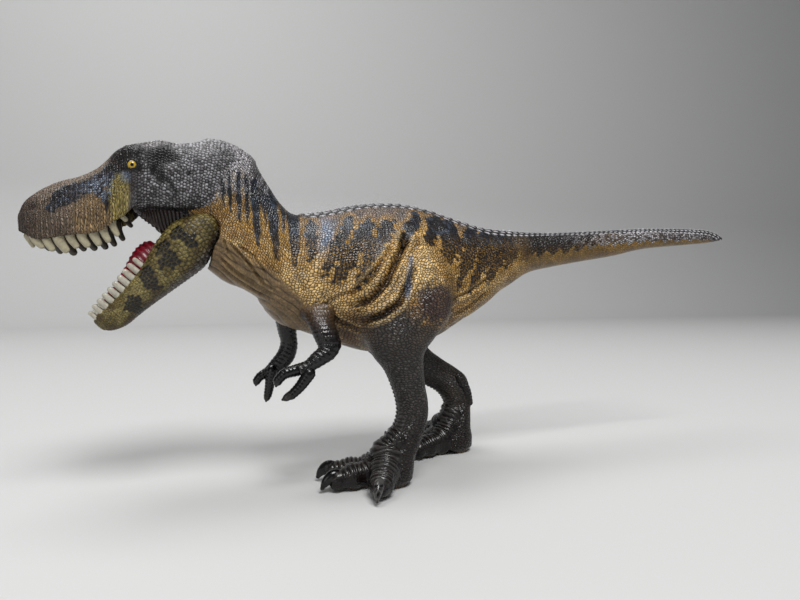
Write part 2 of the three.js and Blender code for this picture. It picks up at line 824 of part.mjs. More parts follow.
const jawRows = placed(jawShares, centreLine, jawLength, jawDepth, jawWidth);
const jawAngle = -jawDropDegrees;

function jawOuter(grow = 0) {
  return sweep(jawRows, { rings: jawRings, sides: jawSides, power: boxiness, grow });
}

function jawTrough(grow = 0) {
  const along = spread(jawRows, troughFloorShares.length);
  const rows = placed(troughFloorShares.map((row) => [...row, 0]), centreLine, jawLength, jawDepth, 0);
  const widest = throatWidth / 2 + jawGap;
  const wide = rows.map((row) => {
    const near = along.reduce((best, other) => (
      Math.abs(other[0] - row[0]) < Math.abs(best[0] - row[0]) ? other : best));
    return [row[0], row[1], row[2], row[3], Math.min(near[4] - jawWall, widest), 0];
  });
  return sweep(wide, { rings: jawRings, sides: limbSides, power: boxiness, grow });
}

const lowerGumInset = gumSeatShare * jawWall + gumDiameter / 2;
const jawRimRows = spread(jawRows, 2 * jawRings)
  .filter((row) => row[0] < gumStartShare * jawLength);
const lowerGum = gumPath(jawRimRows, lowerGumInset, { useTop: true, height: 0 });
const lowerLean = new THREE.Vector3(0, 0, 1)
  .applyAxisAngle(crossways, -THREE.MathUtils.degToRad(lowerToothLeanDegrees));

function lowerTeeth() {
  return toothRow(lowerGum, {
    count: lowerToothCount,
    length: lowerToothLength + gumDiameter / 2,
    diameter: lowerToothDiameter,
    lean: lowerLean,
  });
}

function lowerJawBlank(grow = 0) {
  return jawOuter(grow).subtract(jawTrough(-grow));
}

function tongueBlank(grow = 0) {
  const rows = placed(tongueShares, centreLine, jawLength, jawDepth, tongueWidth);
  return sweep(rows, { rings: jawRings, sides: limbSides, grow });
}

function tongue() {
  return cutBy(tongueBlank(), [lowerJawBlank(fitGap), gumTube(lowerGum, fitGap)]);
}

function lowerJaw() {
  const bore = crossPin(pinDiameter, pinLength, centreLine, fitGap);
  return cutBy(lowerJawBlank(), [gumTube(lowerGum, fitGap), bore]);
}

// A jaw piece turned about the hinge, from its rest place by an angle in degrees
function jawAt(solid, degrees) {
  return solid.rotate([0, jawAngle + degrees, 0]).translate([hinge.x, hinge.y, hinge.z]);
}

function jawSweep(solid) {
  const turns = Array.from({ length: jawSweepSteps + 1 }, (_, k) => (
    -jawWiderDegrees + (k / jawSweepSteps) * (jawClosedDegrees + jawWiderDegrees)));
  return joined(turns.map((turn) => jawAt(solid, turn)));
}

const jawSpace = jawSweep(jawOuter(jawGap));
const jawPin = crossPin(pinDiameter, pinLength, hinge);

function headShell() {
  const blank = joined([headOuter(), neckPlug(), brow(-1), brow(1)]);
  return cutBy(blank, [
    headHollow(),
    eyeSocket(-1),
    eyeSocket(1),
    temple(-1),
    temple(1),
    neckPlugBore(),
    mouthBand(-overrun, mouthVault, lipThickness),
    mouthLining(fitGap),
    eye(-1, fitGap),
    eye(1, fitGap),
    jawSpace,
  ]);
}

function mouthInsert() {
  const bore = crossPin(pinDiameter, pinLength, hinge, fitGap);
  const swept = [lowerJawBlank(jawGap), tongueBlank(jawGap)].map(jawSweep);
  return cutBy(mouthLining(), [bore, ...swept]);
}

// Legs, arms and what they carry

const groundSpan = 2 * (tailLength + bodyLength);
const ground = new THREE.BoxGeometry(groundSpan, groundSpan, overrun);
ground.translate(0, 0, -overrun / 2);

// Ends of the feet on the ground, from the ball of the foot
function foot(ball, side) {
  const toes = toeShares.map(({ turnDegrees, reachShare }) => {
    const turn = THREE.MathUtils.degToRad(turnDegrees);
    const way = new THREE.Vector3(-Math.cos(turn), -side * Math.sin(turn), 0);
    const reach = reachShare * footLength;
    const rings = toeTaperShares.map(([share, wide, tall]) => {
      const centre = ball.clone().addScaledVector(way, share * reach);
      const halfTall = (tall * toeHeight) / 2;
      const across = new THREE.Vector3(-way.y, way.x, 0);
      return Array.from({ length: limbSides }, (_, i) => {
        const angle = (i / limbSides) * 2 * Math.PI;
        return centre.clone()
          .addScaledVector(across, (wide * toeWidth * Math.cos(angle)) / 2)
          .setZ(halfTall * (toeLiftShare + Math.sin(angle)));
      });
    });
    const tip = ball.clone().addScaledVector(way, reach).setZ(toeHeight / 2);
    const end = ball.clone().addScaledVector(way, reach + clawLength);
    const claw = digit([
      tip.clone().addScaledVector(way, -clawLength / 3),
      tip.clone().addScaledVector(way, clawLength / 3),
      end.clone().setZ(clawDiameter / 3),
    ], clawDiameter, clawTaperShares);
    return joined([loft(rings), claw]);
  });
  return joined(toes);
}

// The small inner toe hangs at the ankle, set back from the leg's middle by a share of its depth
function dewclaw(rows, side, backShare) {
  const [x1, z1, x2, z2, w, y] = rows[ankleRow];
  const root = new THREE.Vector3(
    (x1 + x2) / 2 + (backShare * (x2 - x1)) / 2,
    y - side * (w - spurDiameter / 2),
    (z1 + z2) / 2 + (backShare * (z2 - z1)) / 2,
  );
  const line = spurShares.map(([along, up]) => root.clone()
    .add(new THREE.Vector3(along * spurLength, 0, up * spurLength)));
  return digit(line, spurDiameter, spurTaperShares);
}

function leg(shares, side, spurBackShare) {
  const rows = placed(shares, centreLine, hipHeight, hipHeight, legWidth, hipSpread);
  const limb = sweep(rows, { rings: limbRings, sides: limbSides, power: roundness });
  const sole = rows[rows.length - 1];
  const ball = new THREE.Vector3((sole[0] + sole[2]) / 2, sole[5], 0);
  const pegCentre = hipCentre.clone().setY(side * (hipSpread / 2 - hipPegLength / 2));
  const peg = crossPin(hipPegDiameter, hipPegLength, pegCentre);
  const whole = joined([
    limb.subtract(trunkOuter(fitGap)),
    foot(ball, side),
    dewclaw(rows, side, spurBackShare),
    peg,
  ]);
  return whole.subtract(solidOf(ground));
}

function hipPegHole(side) {
  const centre = hipCentre.clone().setY(side * (hipSpread / 2 - hipPegLength / 2));
  return crossPin(hipPegDiameter, hipPegLength, centre, fitGap);
}

function armRows(shares) {
  const shoulder = new THREE.Vector3(
    shoulderXShare * bodyLength,
    0,
    hipHeight + shoulderZShare * bodyDepth,
  );
  return placed(shares, shoulder, armLength, armLength, armWidth, shoulderSpread);
}

function arm(shares, fingerShares, side) {
  const rows = armRows(shares);
  const limb = sweep(rows, { rings: limbRings, sides: limbSides }).subtract(trunkOuter(fitGap));
  const [x1, z1, x2, z2, , y] = rows[rows.length - 1];
  const wrist = new THREE.Vector3((x1 + x2) / 2, y, (z1 + z2) / 2);
  const fingers = fingerShares.map((line, n) => digit(
    line.map(([along, up]) => wrist.clone().add(new THREE.Vector3(
      along * fingerLength,
      (0.5 - n) * fingerDiameter,
      up * fingerLength,
    ))),
    fingerDiameter,
    fingerTaperShares,
  ));
  return joined([limb, shoulderPeg(shares, side), ...fingers]);
}

// The peg goes in level from where the arm leaves the chest
function shoulderPeg(shares, side, grow = 0) {
  const [x1, z1, x2, z2, , y] = armRows(shares)[1];
  const centre = new THREE.Vector3((x1 + x2) / 2, y - side * shoulderPegLength / 2, (z1 + z2) / 2);
  return crossPin(shoulderPegDiameter, shoulderPegLength, centre, grow);
}

function torso() {
  const blank = joined([trunkOuter(), backRidge(-1), backRidge(1)]);
  return cutBy(blank, [
    trunkHollow(),
    flankFold(-1),
    flankFold(1),
    headOuter(fitGap),
    neckPlug(fitGap),
    jawSpace,
    mouthLining(fitGap),
    hipPegHole(-1),
    hipPegHole(1),
    shoulderPeg(leftArmShares, -1, fitGap),
    shoulderPeg(rightArmShares, 1, fitGap),
  ]);
}

// The figure

const vinyl = (color, roughness) => new THREE.MeshStandardMaterial({ color, roughness });
const steel = new THREE.MeshStandardMaterial({ color: 0x9a9a9a, roughness: 0.35, metalness: 1 });

function piece(name, solid, material) {
  const mesh = new THREE.Mesh(geometryOf(solid), material);
  mesh.name = name;
  return mesh;
}

const figure = new THREE.Group();
figure.add(
  piece('torso', torso(), vinyl(0x8a6c38, 0.45)),
  piece('tail', tail(), vinyl(0x6f6040, 0.45)),
  piece('head_shell', headShell(), vinyl(0x6d6a66, 0.5)),
  piece('mouth_lining', mouthInsert(), vinyl(0x2a2224, 0.4)),
  piece('upper_teeth', upperTeeth(), vinyl(0xe6dcc0, 0.35)),
  piece('left_eye', eye(-1), vinyl(0xd8b020, 0.2)),
  piece('right_eye', eye(1), vinyl(0xd8b020, 0.2)),
  piece('left_leg', leg(leftLegShares, -1, leftSpurBackShare), vinyl(0x2e2622, 0.4)),
  piece('right_leg', leg(rightLegShares, 1, rightSpurBackShare), vinyl(0x2e2622, 0.4)),
  piece('left_arm', arm(leftArmShares, leftFingerShares, -1), vinyl(0x26221f, 0.35)),
  piece('right_arm', arm(rightArmShares, rightFingerShares, 1), vinyl(0x26221f, 0.35)),
  piece('jaw_pin', jawPin, steel),
);

const jaw = new THREE.Group();
jaw.position.copy(hinge);
jaw.rotation.y = THREE.MathUtils.degToRad(jawAngle);
jaw.add(
  piece('lower_jaw', lowerJaw(), vinyl(0x8a7c3e, 0.45)),
  piece('lower_teeth', lowerTeeth(), vinyl(0xf0ecdc, 0.35)),
  piece('tongue', tongue(), vinyl(0xa01c3c, 0.3)),
);
figure.add(jaw);

// The origin is the middle of the figure's footprint box, on the ground
const box = new THREE.Box3().setFromObject(figure);
const middle = box.getCenter(new THREE.Vector3());
figure.position.set(-middle.x, -middle.y, -box.min.z);

export default figure;
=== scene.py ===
"""Looks of a painted soft-vinyl toy tyrannosaur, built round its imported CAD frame.

Lengths are millimetres in the maker's frame: the hip stands over x = 0, the head points along -x
and the left side faces -y. Every skin is a grid of rings along a piece and of points round each
ring. Paint and carving are laid out as marks on the plane of a level view of the left side and
repeated on the right side.
"""

import functools
import json
import logging
import math
from dataclasses import dataclass, field
from enum import Enum
from typing import Callable, Iterable, Sequence

import bpy
import numpy as np
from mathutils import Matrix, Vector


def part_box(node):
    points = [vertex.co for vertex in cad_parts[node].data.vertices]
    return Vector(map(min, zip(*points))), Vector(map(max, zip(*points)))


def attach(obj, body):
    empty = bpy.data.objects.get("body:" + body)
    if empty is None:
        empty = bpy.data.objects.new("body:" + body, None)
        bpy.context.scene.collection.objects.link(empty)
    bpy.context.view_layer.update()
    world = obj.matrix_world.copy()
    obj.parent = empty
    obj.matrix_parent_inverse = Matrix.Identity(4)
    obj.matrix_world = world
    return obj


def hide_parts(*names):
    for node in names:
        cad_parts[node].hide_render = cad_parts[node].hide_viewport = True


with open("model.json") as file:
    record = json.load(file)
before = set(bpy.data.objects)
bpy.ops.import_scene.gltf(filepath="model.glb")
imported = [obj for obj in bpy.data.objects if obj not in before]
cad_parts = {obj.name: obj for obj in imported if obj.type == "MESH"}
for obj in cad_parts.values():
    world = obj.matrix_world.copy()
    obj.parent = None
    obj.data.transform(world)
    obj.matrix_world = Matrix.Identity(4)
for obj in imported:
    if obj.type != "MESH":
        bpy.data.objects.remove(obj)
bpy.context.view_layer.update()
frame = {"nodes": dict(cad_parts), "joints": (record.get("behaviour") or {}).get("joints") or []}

Array = np.ndarray
Line = Sequence[tuple[float, float]]
Material, Object = bpy.types.Material, bpy.types.Object
Tree, Socket = bpy.types.NodeTree, bpy.types.NodeSocket
LOG = logging.getLogger("toy_tyrannosaur")

# Sizes shared with the solids, in millimetres and degrees
BODY_LENGTH, BODY_DEPTH, BODY_WIDTH, HIP_HEIGHT = 125.0, 67.0, 46.0, 88.0
TAIL_LENGTH = 144.0
HEAD_LENGTH, HEAD_HEIGHT, HEAD_WIDTH = 62.0, 37.3, 35.6
JAW_LENGTH, JAW_DEPTH, JAW_WIDTH, JAW_DROP = 51.0, 21.5, 31.6, 44.0
JAW_TURNS = (-4.0, 4.0, 12.0, 21.0, 30.0)
TONGUE_WIDTH = 11.0
LEG_WIDTH, HIP_SPREAD = 21.6, 44.0
FOOT_LENGTH, CLAW_LENGTH = 42.0, 7.0
SPUR_LENGTH, SPUR_DIAMETER = 15.0, 3.4
ARM_DROP, ARM_WIDTH, SHOULDER_SPREAD = 34.0, 10.4, 42.0
FINGER_LENGTH, FINGER_DIAMETER = 13.0, 3.2
EYE_DIAMETER = 4.8
HINGE = np.array([-0.699 * BODY_LENGTH, 0.0, HIP_HEIGHT + 0.248 * BODY_DEPTH])
SHIFT = np.array(frame["joints"][0]["pos_m"]) * 1000 - HINGE

# Tables of a section's two opposite points seen from the side, its half width and, on limbs,
# its place across, all as shares of the sizes
TRUNK = np.array([
    [-0.608, 0.772, -0.704, 0.119, 0.283], [-0.556, 0.732, -0.676, 0.045, 0.304],
    [-0.512, 0.65, -0.628, -0.037, 0.322], [-0.472, 0.537, -0.568, -0.093, 0.343],
    [-0.436, 0.437, -0.516, -0.142, 0.37], [-0.392, 0.37, -0.476, -0.246, 0.402],
    [-0.336, 0.366, -0.424, -0.328, 0.43], [-0.264, 0.39, -0.336, -0.384, 0.457],
    [-0.176, 0.431, -0.224, -0.463, 0.485], [-0.088, 0.451, -0.12, -0.513, 0.496],
    [0, 0.454, -0.016, -0.503, 0.474], [0.088, 0.431, 0.08, -0.463, 0.435],
    [0.168, 0.392, 0.164, -0.396, 0.398], [0.248, 0.352, 0.248, -0.301, 0.357],
    [0.32, 0.32, 0.324, -0.219, 0.317], [0.388, 0.31, 0.388, -0.127, 0.274]])
TAIL = np.array([
    [0, 0.5, 0, -0.5, 0.5], [0.042, 0.497, 0.042, -0.376, 0.432],
    [0.12, 0.493, 0.12, -0.162, 0.356], [0.221, 0.51, 0.221, -0.052, 0.304],
    [0.347, 0.552, 0.347, 0.055, 0.264], [0.478, 0.6, 0.478, 0.159, 0.228],
    [0.615, 0.652, 0.615, 0.3, 0.188], [0.758, 0.679, 0.758, 0.376, 0.152],
    [0.907, 0.686, 0.907, 0.445, 0.116], [0.969, 0.641, 0.969, 0.486, 0.08],
    [1, 0.586, 1, 0.521, 0.036]])
HEAD = np.array([
    [0.216, 0.93, 0.119, 0.198, 0.407], [0.119, 0.965, 0.055, 0.185, 0.458],
    [0.006, 0.935, -0.026, 0.18, 0.489], [-0.106, 0.9, -0.123, 0.177, 0.5],
    [-0.211, 0.925, -0.227, 0.172, 0.483], [-0.316, 0.885, -0.324, 0.166, 0.449],
    [-0.413, 0.825, -0.413, 0.145, 0.41], [-0.485, 0.735, -0.477, 0.08, 0.382],
    [-0.566, 0.6, -0.566, -0.016, 0.36], [-0.663, 0.505, -0.655, -0.056, 0.337],
    [-0.76, 0.452, -0.752, -0.097, 0.309], [-0.845, 0.38, -0.838, -0.126, 0.275],
    [-0.912, 0.3, -0.902, -0.131, 0.236], [-0.957, 0.225, -0.942, -0.105, 0.185],
    [-0.984, 0.13, -0.976, -0.075, 0.115]])
JAW = np.array([
    [0.157, 0, 0.157, -0.186, 0.316], [0.127, 0.163, 0.118, -0.326, 0.475],
    [0.043, 0.288, 0.047, -0.433, 0.494], [-0.039, 0.372, -0.02, -0.474, 0.5],
    [-0.118, 0.414, -0.098, -0.558, 0.491], [-0.196, 0.4, -0.176, -0.586, 0.475],
    [-0.275, 0.367, -0.275, -0.567, 0.449], [-0.373, 0.302, -0.373, -0.54, 0.418],
    [-0.471, 0.233, -0.471, -0.512, 0.38], [-0.608, 0.153, -0.608, -0.474, 0.325],
    [-0.745, 0.102, -0.745, -0.447, 0.28], [-0.853, 0.084, -0.853, -0.437, 0.24],
    [-0.922, 0.074, -0.922, -0.391, 0.2], [-0.971, 0.056, -0.971, -0.33, 0.165],
    [-1, 0.01, -1, -0.25, 0.115]])
TROUGH_X = (-0.91, -0.84, -0.7, -0.5, -0.3, -0.16, -0.04, 0.05, 0.2)
TROUGH_Z = (-0.13, -0.22, -0.26, -0.29, -0.35, -0.43, -0.455, -0.4, -0.15)
TONGUE = np.array([
    [-0.26, 0.2, -0.25, -0.3, 0.36], [-0.31, 0.42, -0.3, -0.3, 0.5],
    [-0.36, 0.47, -0.36, -0.29, 0.5], [-0.42, 0.47, -0.43, -0.28, 0.5],
    [-0.49, 0.43, -0.5, -0.27, 0.47], [-0.6, 0.33, -0.6, -0.25, 0.44],
    [-0.72, 0.24, -0.72, -0.23, 0.4], [-0.82, 0.2, -0.8, -0.16, 0.3],
    [-0.87, 0.12, -0.84, -0.06, 0.18]])
LEFT_LEG = np.array([
    [-0.102, 1.125, 0.057, 1.125, 0.324, -0.341], [-0.198, 1.048, 0.142, 1.051, 0.44, -0.42],
    [-0.245, 0.92, 0.168, 0.92, 0.5, -0.489], [-0.265, 0.795, 0.152, 0.795, 0.5, -0.523],
    [-0.256, 0.693, 0.081, 0.705, 0.463, -0.534], [-0.226, 0.614, 0.022, 0.625, 0.412, -0.523],
    [-0.17, 0.545, 0.018, 0.551, 0.361, -0.511], [-0.13, 0.466, 0.03, 0.466, 0.315, -0.5],
    [-0.1, 0.382, 0.05, 0.382, 0.292, -0.477], [-0.1, 0.309, 0.05, 0.305, 0.292, -0.466],
    [-0.131, 0.244, 0.027, 0.227, 0.319, -0.455], [-0.185, 0.176, -0.005, 0.142, 0.361, -0.443],
    [-0.226, 0.114, -0.028, 0.068, 0.389, -0.432], [-0.237, 0.045, -0.039, -0.034, 0.389, -0.432]])
RIGHT_LEG = np.array([
    [-0.114, 1.091, 0.091, 1.125, 0.324, 0.341], [-0.182, 0.977, 0.17, 1.045, 0.44, 0.42],
    [-0.205, 0.841, 0.216, 0.932, 0.5, 0.489], [-0.182, 0.705, 0.239, 0.818, 0.491, 0.523],
    [-0.102, 0.591, 0.239, 0.682, 0.435, 0.53], [0.011, 0.5, 0.259, 0.594, 0.389, 0.523],
    [0.136, 0.439, 0.341, 0.527, 0.343, 0.511], [0.228, 0.389, 0.426, 0.473, 0.31, 0.5],
    [0.31, 0.345, 0.49, 0.42, 0.292, 0.489], [0.354, 0.295, 0.513, 0.341, 0.287, 0.477],
    [0.366, 0.239, 0.513, 0.25, 0.292, 0.466], [0.35, 0.188, 0.51, 0.153, 0.319, 0.455],
    [0.3, 0.143, 0.506, 0.08, 0.361, 0.443], [0.27, 0.057, 0.497, -0.034, 0.389, 0.432]])
LEFT_ARM = np.array([
    [-0.18, 0.06, 0.18, 0.06, 0.4, -0.27], [-0.17, -0.12, 0.15, -0.1, 0.5, -0.4],
    [-0.12, -0.3, 0.18, -0.27, 0.44, -0.5], [-0.07, -0.42, 0.22, -0.44, 0.4, -0.53],
    [-0.06, -0.47, 0.14, -0.58, 0.37, -0.55], [-0.13, -0.53, 0.03, -0.65, 0.32, -0.56],
    [-0.21, -0.61, -0.1, -0.72, 0.28, -0.56], [-0.3, -0.65, -0.19, -0.78, 0.27, -0.56]])
RIGHT_ARM = np.array([
    [-0.3, 0.06, 0.07, 0.1, 0.4, 0.27], [-0.38, -0.14, -0.1, -0.13, 0.5, 0.4],
    [-0.34, -0.35, -0.09, -0.36, 0.44, 0.47], [-0.3, -0.5, -0.07, -0.56, 0.4, 0.5],
    [-0.34, -0.63, -0.12, -0.74, 0.36, 0.5], [-0.44, -0.76, -0.24, -0.87, 0.3, 0.5],
    [-0.52, -0.86, -0.37, -0.96, 0.27, 0.5]])
LEFT_FINGERS = (((0.12, 0.05), (-0.2, -0.02), (-0.5, -0.1), (-0.7, -0.28), (-0.75, -0.45)),
                ((0.18, -0.1), (0.04, -0.3), (-0.12, -0.5), (-0.34, -0.7), (-0.6, -0.82)))
RIGHT_FINGERS = (((0.1, 0.1), (-0.12, -0.02), (-0.3, -0.12), (-0.42, -0.26), (-0.45, -0.42)),
                 ((0.08, 0.12), (0.02, -0.2), (-0.02, -0.48), (-0.07, -0.74), (-0.13, -0.95)))
SPUR = ((-0.2, 0.05), (0.05, -0.4), (0.18, -0.8), (0.16, -1.1))
TOES = ((25.0, 0.56), (-5.0, 0.53), (-62.0, 0.48))

SOLE = 0.02  # height of the soles
FRONT_SHARE = 0.62  # share of the body's rings that limbs and head flow into
THIGH_FLOW, NECK_FLOW, ARM_FLOW, TOE_FLOW = 9.0, 5.0, 4.0, 3.0  # widths of the soft joins
MELT_ROUNDS = 4  # rounds in which a soft join settles
AT_ONCE = 1500  # points whose distances are worked out together
MOST_STEPS = 44  # steps by which a point may leave the space that the jaw turns through
SWEPT_ROWS = 200  # sections in which that space is looked at
SWEPT_POWER = 2.8  # boxiness of that space, whose sections are superellipses


class Tint(Enum):
    """Paints of the figure, as red, green and blue shares on a screen."""

    GOLD = (0.56, 0.43, 0.24)
    ORANGE = (0.58, 0.44, 0.20)
    PALE_GOLD = (0.82, 0.70, 0.48)
    TAN = (0.56, 0.46, 0.32)
    BROWN = (0.30, 0.22, 0.14)
    DEEP_BROWN = (0.14, 0.10, 0.085)
    OLIVE = (0.45, 0.39, 0.19)
    PALE_OLIVE = (0.70, 0.64, 0.40)
    SILVER = (0.84, 0.83, 0.85)
    STONE = (0.32, 0.30, 0.30)
    PEARL = (0.64, 0.69, 0.77)
    SNOUT = (0.47, 0.41, 0.35)
    SNOUT_TIP = (0.25, 0.20, 0.17)
    SHADE = (0.065, 0.06, 0.065)
    NIGHT = (0.035, 0.055, 0.095)
    BLUE = (0.42, 0.49, 0.58)
    CHARCOAL = (0.185, 0.17, 0.16)
    PLUM = (0.19, 0.14, 0.145)
    ASH = (0.44, 0.43, 0.42)
    BLACK = (0.045, 0.04, 0.045)
    FOOT = (0.105, 0.08, 0.07)
    DUST = (0.46, 0.38, 0.31)
    OCHRE = (0.55, 0.43, 0.22)
    CREAM = (0.85, 0.81, 0.68)
    BONE = (0.88, 0.86, 0.79)
    STAIN = (0.55, 0.47, 0.34)
    RED = (0.50, 0.07, 0.14)
    PINK = (0.72, 0.22, 0.28)
    YELLOW = (0.84, 0.70, 0.22)
    MOUTH = (0.17, 0.115, 0.10)

    @property
    def linear(self) -> Array:
        """The paint as shares of light, which is what the renderer counts in."""
        value = np.array(self.value)
        return np.where(value < 0.04045, value / 12.92, ((value + 0.055) / 1.055) ** 2.4)


@dataclass(frozen=True)
class SideView:
    """Plane of a level view of the left side: marks run to the tail and down."""

    focal: float = 580.0
    middle_across: float = 400.0
    middle_down: float = 292.0
    distance: float = 264.0
    height: float = 80.0
    turn: float = math.radians(20.0)

    def marks(self, points: Array) -> Array:
        """Marks of points, with the right side folded onto the left.

        Args:
            points: places in millimetres, the last axis being x, y and z.

        Returns:
            Marks: the focal length times the way across and down, over the depth.
        """
        x, y, z = points[..., 0], -np.abs(points[..., 1]), points[..., 2]
        sine, cosine = math.sin(self.turn), math.cos(self.turn)
        depth = self.distance + x * sine + y * cosine
        across = self.middle_across + self.focal * (x * cosine - y * sine) / depth
        down = self.middle_down + self.focal * (self.height - z) / depth
        return np.stack([across, down], -1)

    def place(self, across: float, down: float, y: float) -> Array:
        """The point at a mark whose place across the figure is known.

        Args:
            across: the mark's first number.
            down: the mark's second number.
            y: the point's place across the figure.

        Returns:
            The point in millimetres.
        """
        sine, cosine = math.sin(self.turn), math.cos(self.turn)
        k = (across - self.middle_across) / self.focal
        x = (k * (self.distance + y * cosine) + y * sine) / (cosine - k * sine)
        depth = self.distance + x * sine + y * cosine
        return np.array([x, y, self.height + (self.middle_down - down) * depth / self.focal])


VIEW = SideView()


def chance(a: Array, b: Array, seed: int) -> Array:
    """Repeatable numbers from 0 to 1 for pairs of whole numbers, by mixing their bits.

    Args:
        a: first whole numbers.
        b: second whole numbers.
        seed: picks another set of numbers.

    Returns:
        One number for each pair.
    """
    mask = 0xFFFFFFFF
    n = (a.astype(np.int64) * 374761393 + b.astype(np.int64) * 668265263 + seed * 69069) & mask
    n = ((n ^ (n >> 13)) * 1274126177) & mask
    n = ((n ^ (n >> 15)) * 2246822519) & mask
    return ((n ^ (n >> 16)) & 0xFFFF) / 65535.0


def step(value: Array, low: float, high: float) -> Array:
    """Smooth rise from 0 at low to 1 at high, as 3t^2 - 2t^3.

    Args:
        value: numbers to rate.
        low: where the rise starts.
        high: where it ends.

    Returns:
        Shares from 0 to 1.
    """
    t = np.clip((value - low) / (high - low), 0.0, 1.0)
    return t * t * (3 - 2 * t)


def fall(value: Array, low: float, high: float) -> Array:
    """Smooth fall from 1 at low to 0 at high."""
    return 1 - step(value, low, high)


def most(shares: Iterable[Array]) -> Array:
    """Greatest of several shares at each point."""
    return functools.reduce(np.maximum, shares)


def clouds(marks: Array, size: float, seed: int) -> Array:
    """Soft random patches: chance at the corners of squares, smoothly blended between them.

    Args:
        marks: places whose last axis holds two numbers.
        size: side of a square.
        seed: picks other patches.

    Returns:
        Numbers from 0 to 1.
    """
    x, y = marks[..., 0] / size, marks[..., 1] / size
    i, j = np.floor(x).astype(np.int64), np.floor(y).astype(np.int64)
    s, t = step(x - i, 0, 1), step(y - j, 0, 1)
    low = chance(i, j, seed) * (1 - s) + chance(i + 1, j, seed) * s
    high = chance(i, j + 1, seed) * (1 - s) + chance(i + 1, j + 1, seed) * s
    return low * (1 - t) + high * t


def spread(rows: Array, places: Array) -> Array:
    """Smooth (Catmull-Rom) curve through each column of a table.

    Args:
        rows: the table.
        places: row numbers, whole or between two rows.

    Returns:
        One row for each place.
    """
    last = len(rows) - 1
    k = np.clip(np.floor(places).astype(int), 0, last - 1)
    t = (places - k)[:, None]
    p, q, r, s = (rows[np.clip(k + n, 0, last)] for n in (-1, 0, 1, 2))
    return q + 0.5 * t * (r - p + t * (2 * p - 5 * q + 4 * r - s + t * (3 * (q - r) + s - p)))


def totals(steps: Array) -> Array:
    """Running totals of steps, from 0 on."""
    return np.concatenate([[0], np.cumsum(steps)])


def way_along(line: Array) -> Array:
    """Way along a bent line up to each of its corners."""
    return totals(np.linalg.norm(np.diff(line, axis=0), axis=1))


def unit(way: Array) -> Array:
    """A direction of length 1."""
    return way / np.linalg.norm(way)


def bars(phase: Array) -> Array:
    """Rounded bars with narrow grooves between them, one to each half turn of a phase."""
    return np.abs(np.sin(phase)) ** 0.6


def evened(rows: Array, line: Array, spacing: float, least: int) -> Array:
    """Rows of a dense table again, at even distances along a line.

    Args:
        rows: the table.
        line: the line's point for each row.
        spacing: distance wanted between rows.
        least: fewest steps.

    Returns:
        The new rows.
    """
    length = way_along(line)
    even = np.linspace(0, length[-1], max(int(length[-1] / spacing), least) + 1)
    return np.stack([np.interp(even, length, column) for column in rows.T], 1)


def line_distance(marks: Array, line: Line) -> tuple[Array, Array]:
    """Distance from marks to a bent line: the least of the distances to its straight parts.

    Args:
        marks: places on the plane.
        line: corners of the line.

    Returns:
        The distances, and the places along the line from 0 to 1.
    """
    corners = np.array(line, float)
    best = np.full(marks.shape[:-1], 1e9)
    place = np.zeros(marks.shape[:-1])
    for n, (start, end) in enumerate(zip(corners[:-1], corners[1:])):
        way = end - start
        t = np.clip(((marks - start) @ way) / (way @ way), 0, 1)
        gap = np.linalg.norm(marks - start - t[..., None] * way, axis=-1)
        nearer = gap < best
        best = np.where(nearer, gap, best)
        place = np.where(nearer, (n + t) / (len(corners) - 1), place)
    return best, place


def stripe(marks: Array, line: Line, widths: Sequence[float], soft: float = 2.0) -> Array:
    """Share of a painted stripe: 1 within its half width of a line, falling to 0 over soft.

    Args:
        marks: places on the plane.
        line: corners of the stripe's middle line.
        widths: half widths, evenly placed along the line.
        soft: width of the soft edge.

    Returns:
        Shares from 0 to 1.
    """
    gap, place = line_distance(marks, line)
    half = np.interp(place, np.linspace(0, 1, len(widths)), widths)
    return fall(gap - half, -soft / 2, soft / 2)


def spot(marks: Array, middle: tuple[float, float], radii: tuple[float, float],
         turn: float = 0.0, soft: float = 0.35) -> Array:
    """Share of an oval spot: 1 inside, falling to 0 at its edge.

    Args:
        marks: places on the plane.
        middle: the spot's middle.
        radii: its half length and half height.
        turn: degrees that it is turned clockwise.
        soft: share of the radius over which it fades.

    Returns:
        Shares from 0 to 1.
    """
    angle = math.radians(turn)
    x, y = marks[..., 0] - middle[0], marks[..., 1] - middle[1]
    a = (x * math.cos(angle) + y * math.sin(angle)) / radii[0]
    b = (y * math.cos(angle) - x * math.sin(angle)) / radii[1]
    return fall(np.hypot(a, b), 1 - soft, 1 + soft / 2)


@dataclass
class Scales:
    """Scales over a grid: each point's distance from its scale's edge, that scale's own random
    number, and its middle.
    """

    edge: Array
    luck: Array
    middle: Array

    def dome(self, rim: float = 0.3) -> Array:
        """Height of a scale from 0 in the crack to 1 on its top."""
        return step(self.edge, 0.0, rim)

    def crack(self, width: float = 0.13) -> Array:
        """Share of a crack between scales: 1 in its middle."""
        return fall(self.edge, width * 0.25, width)


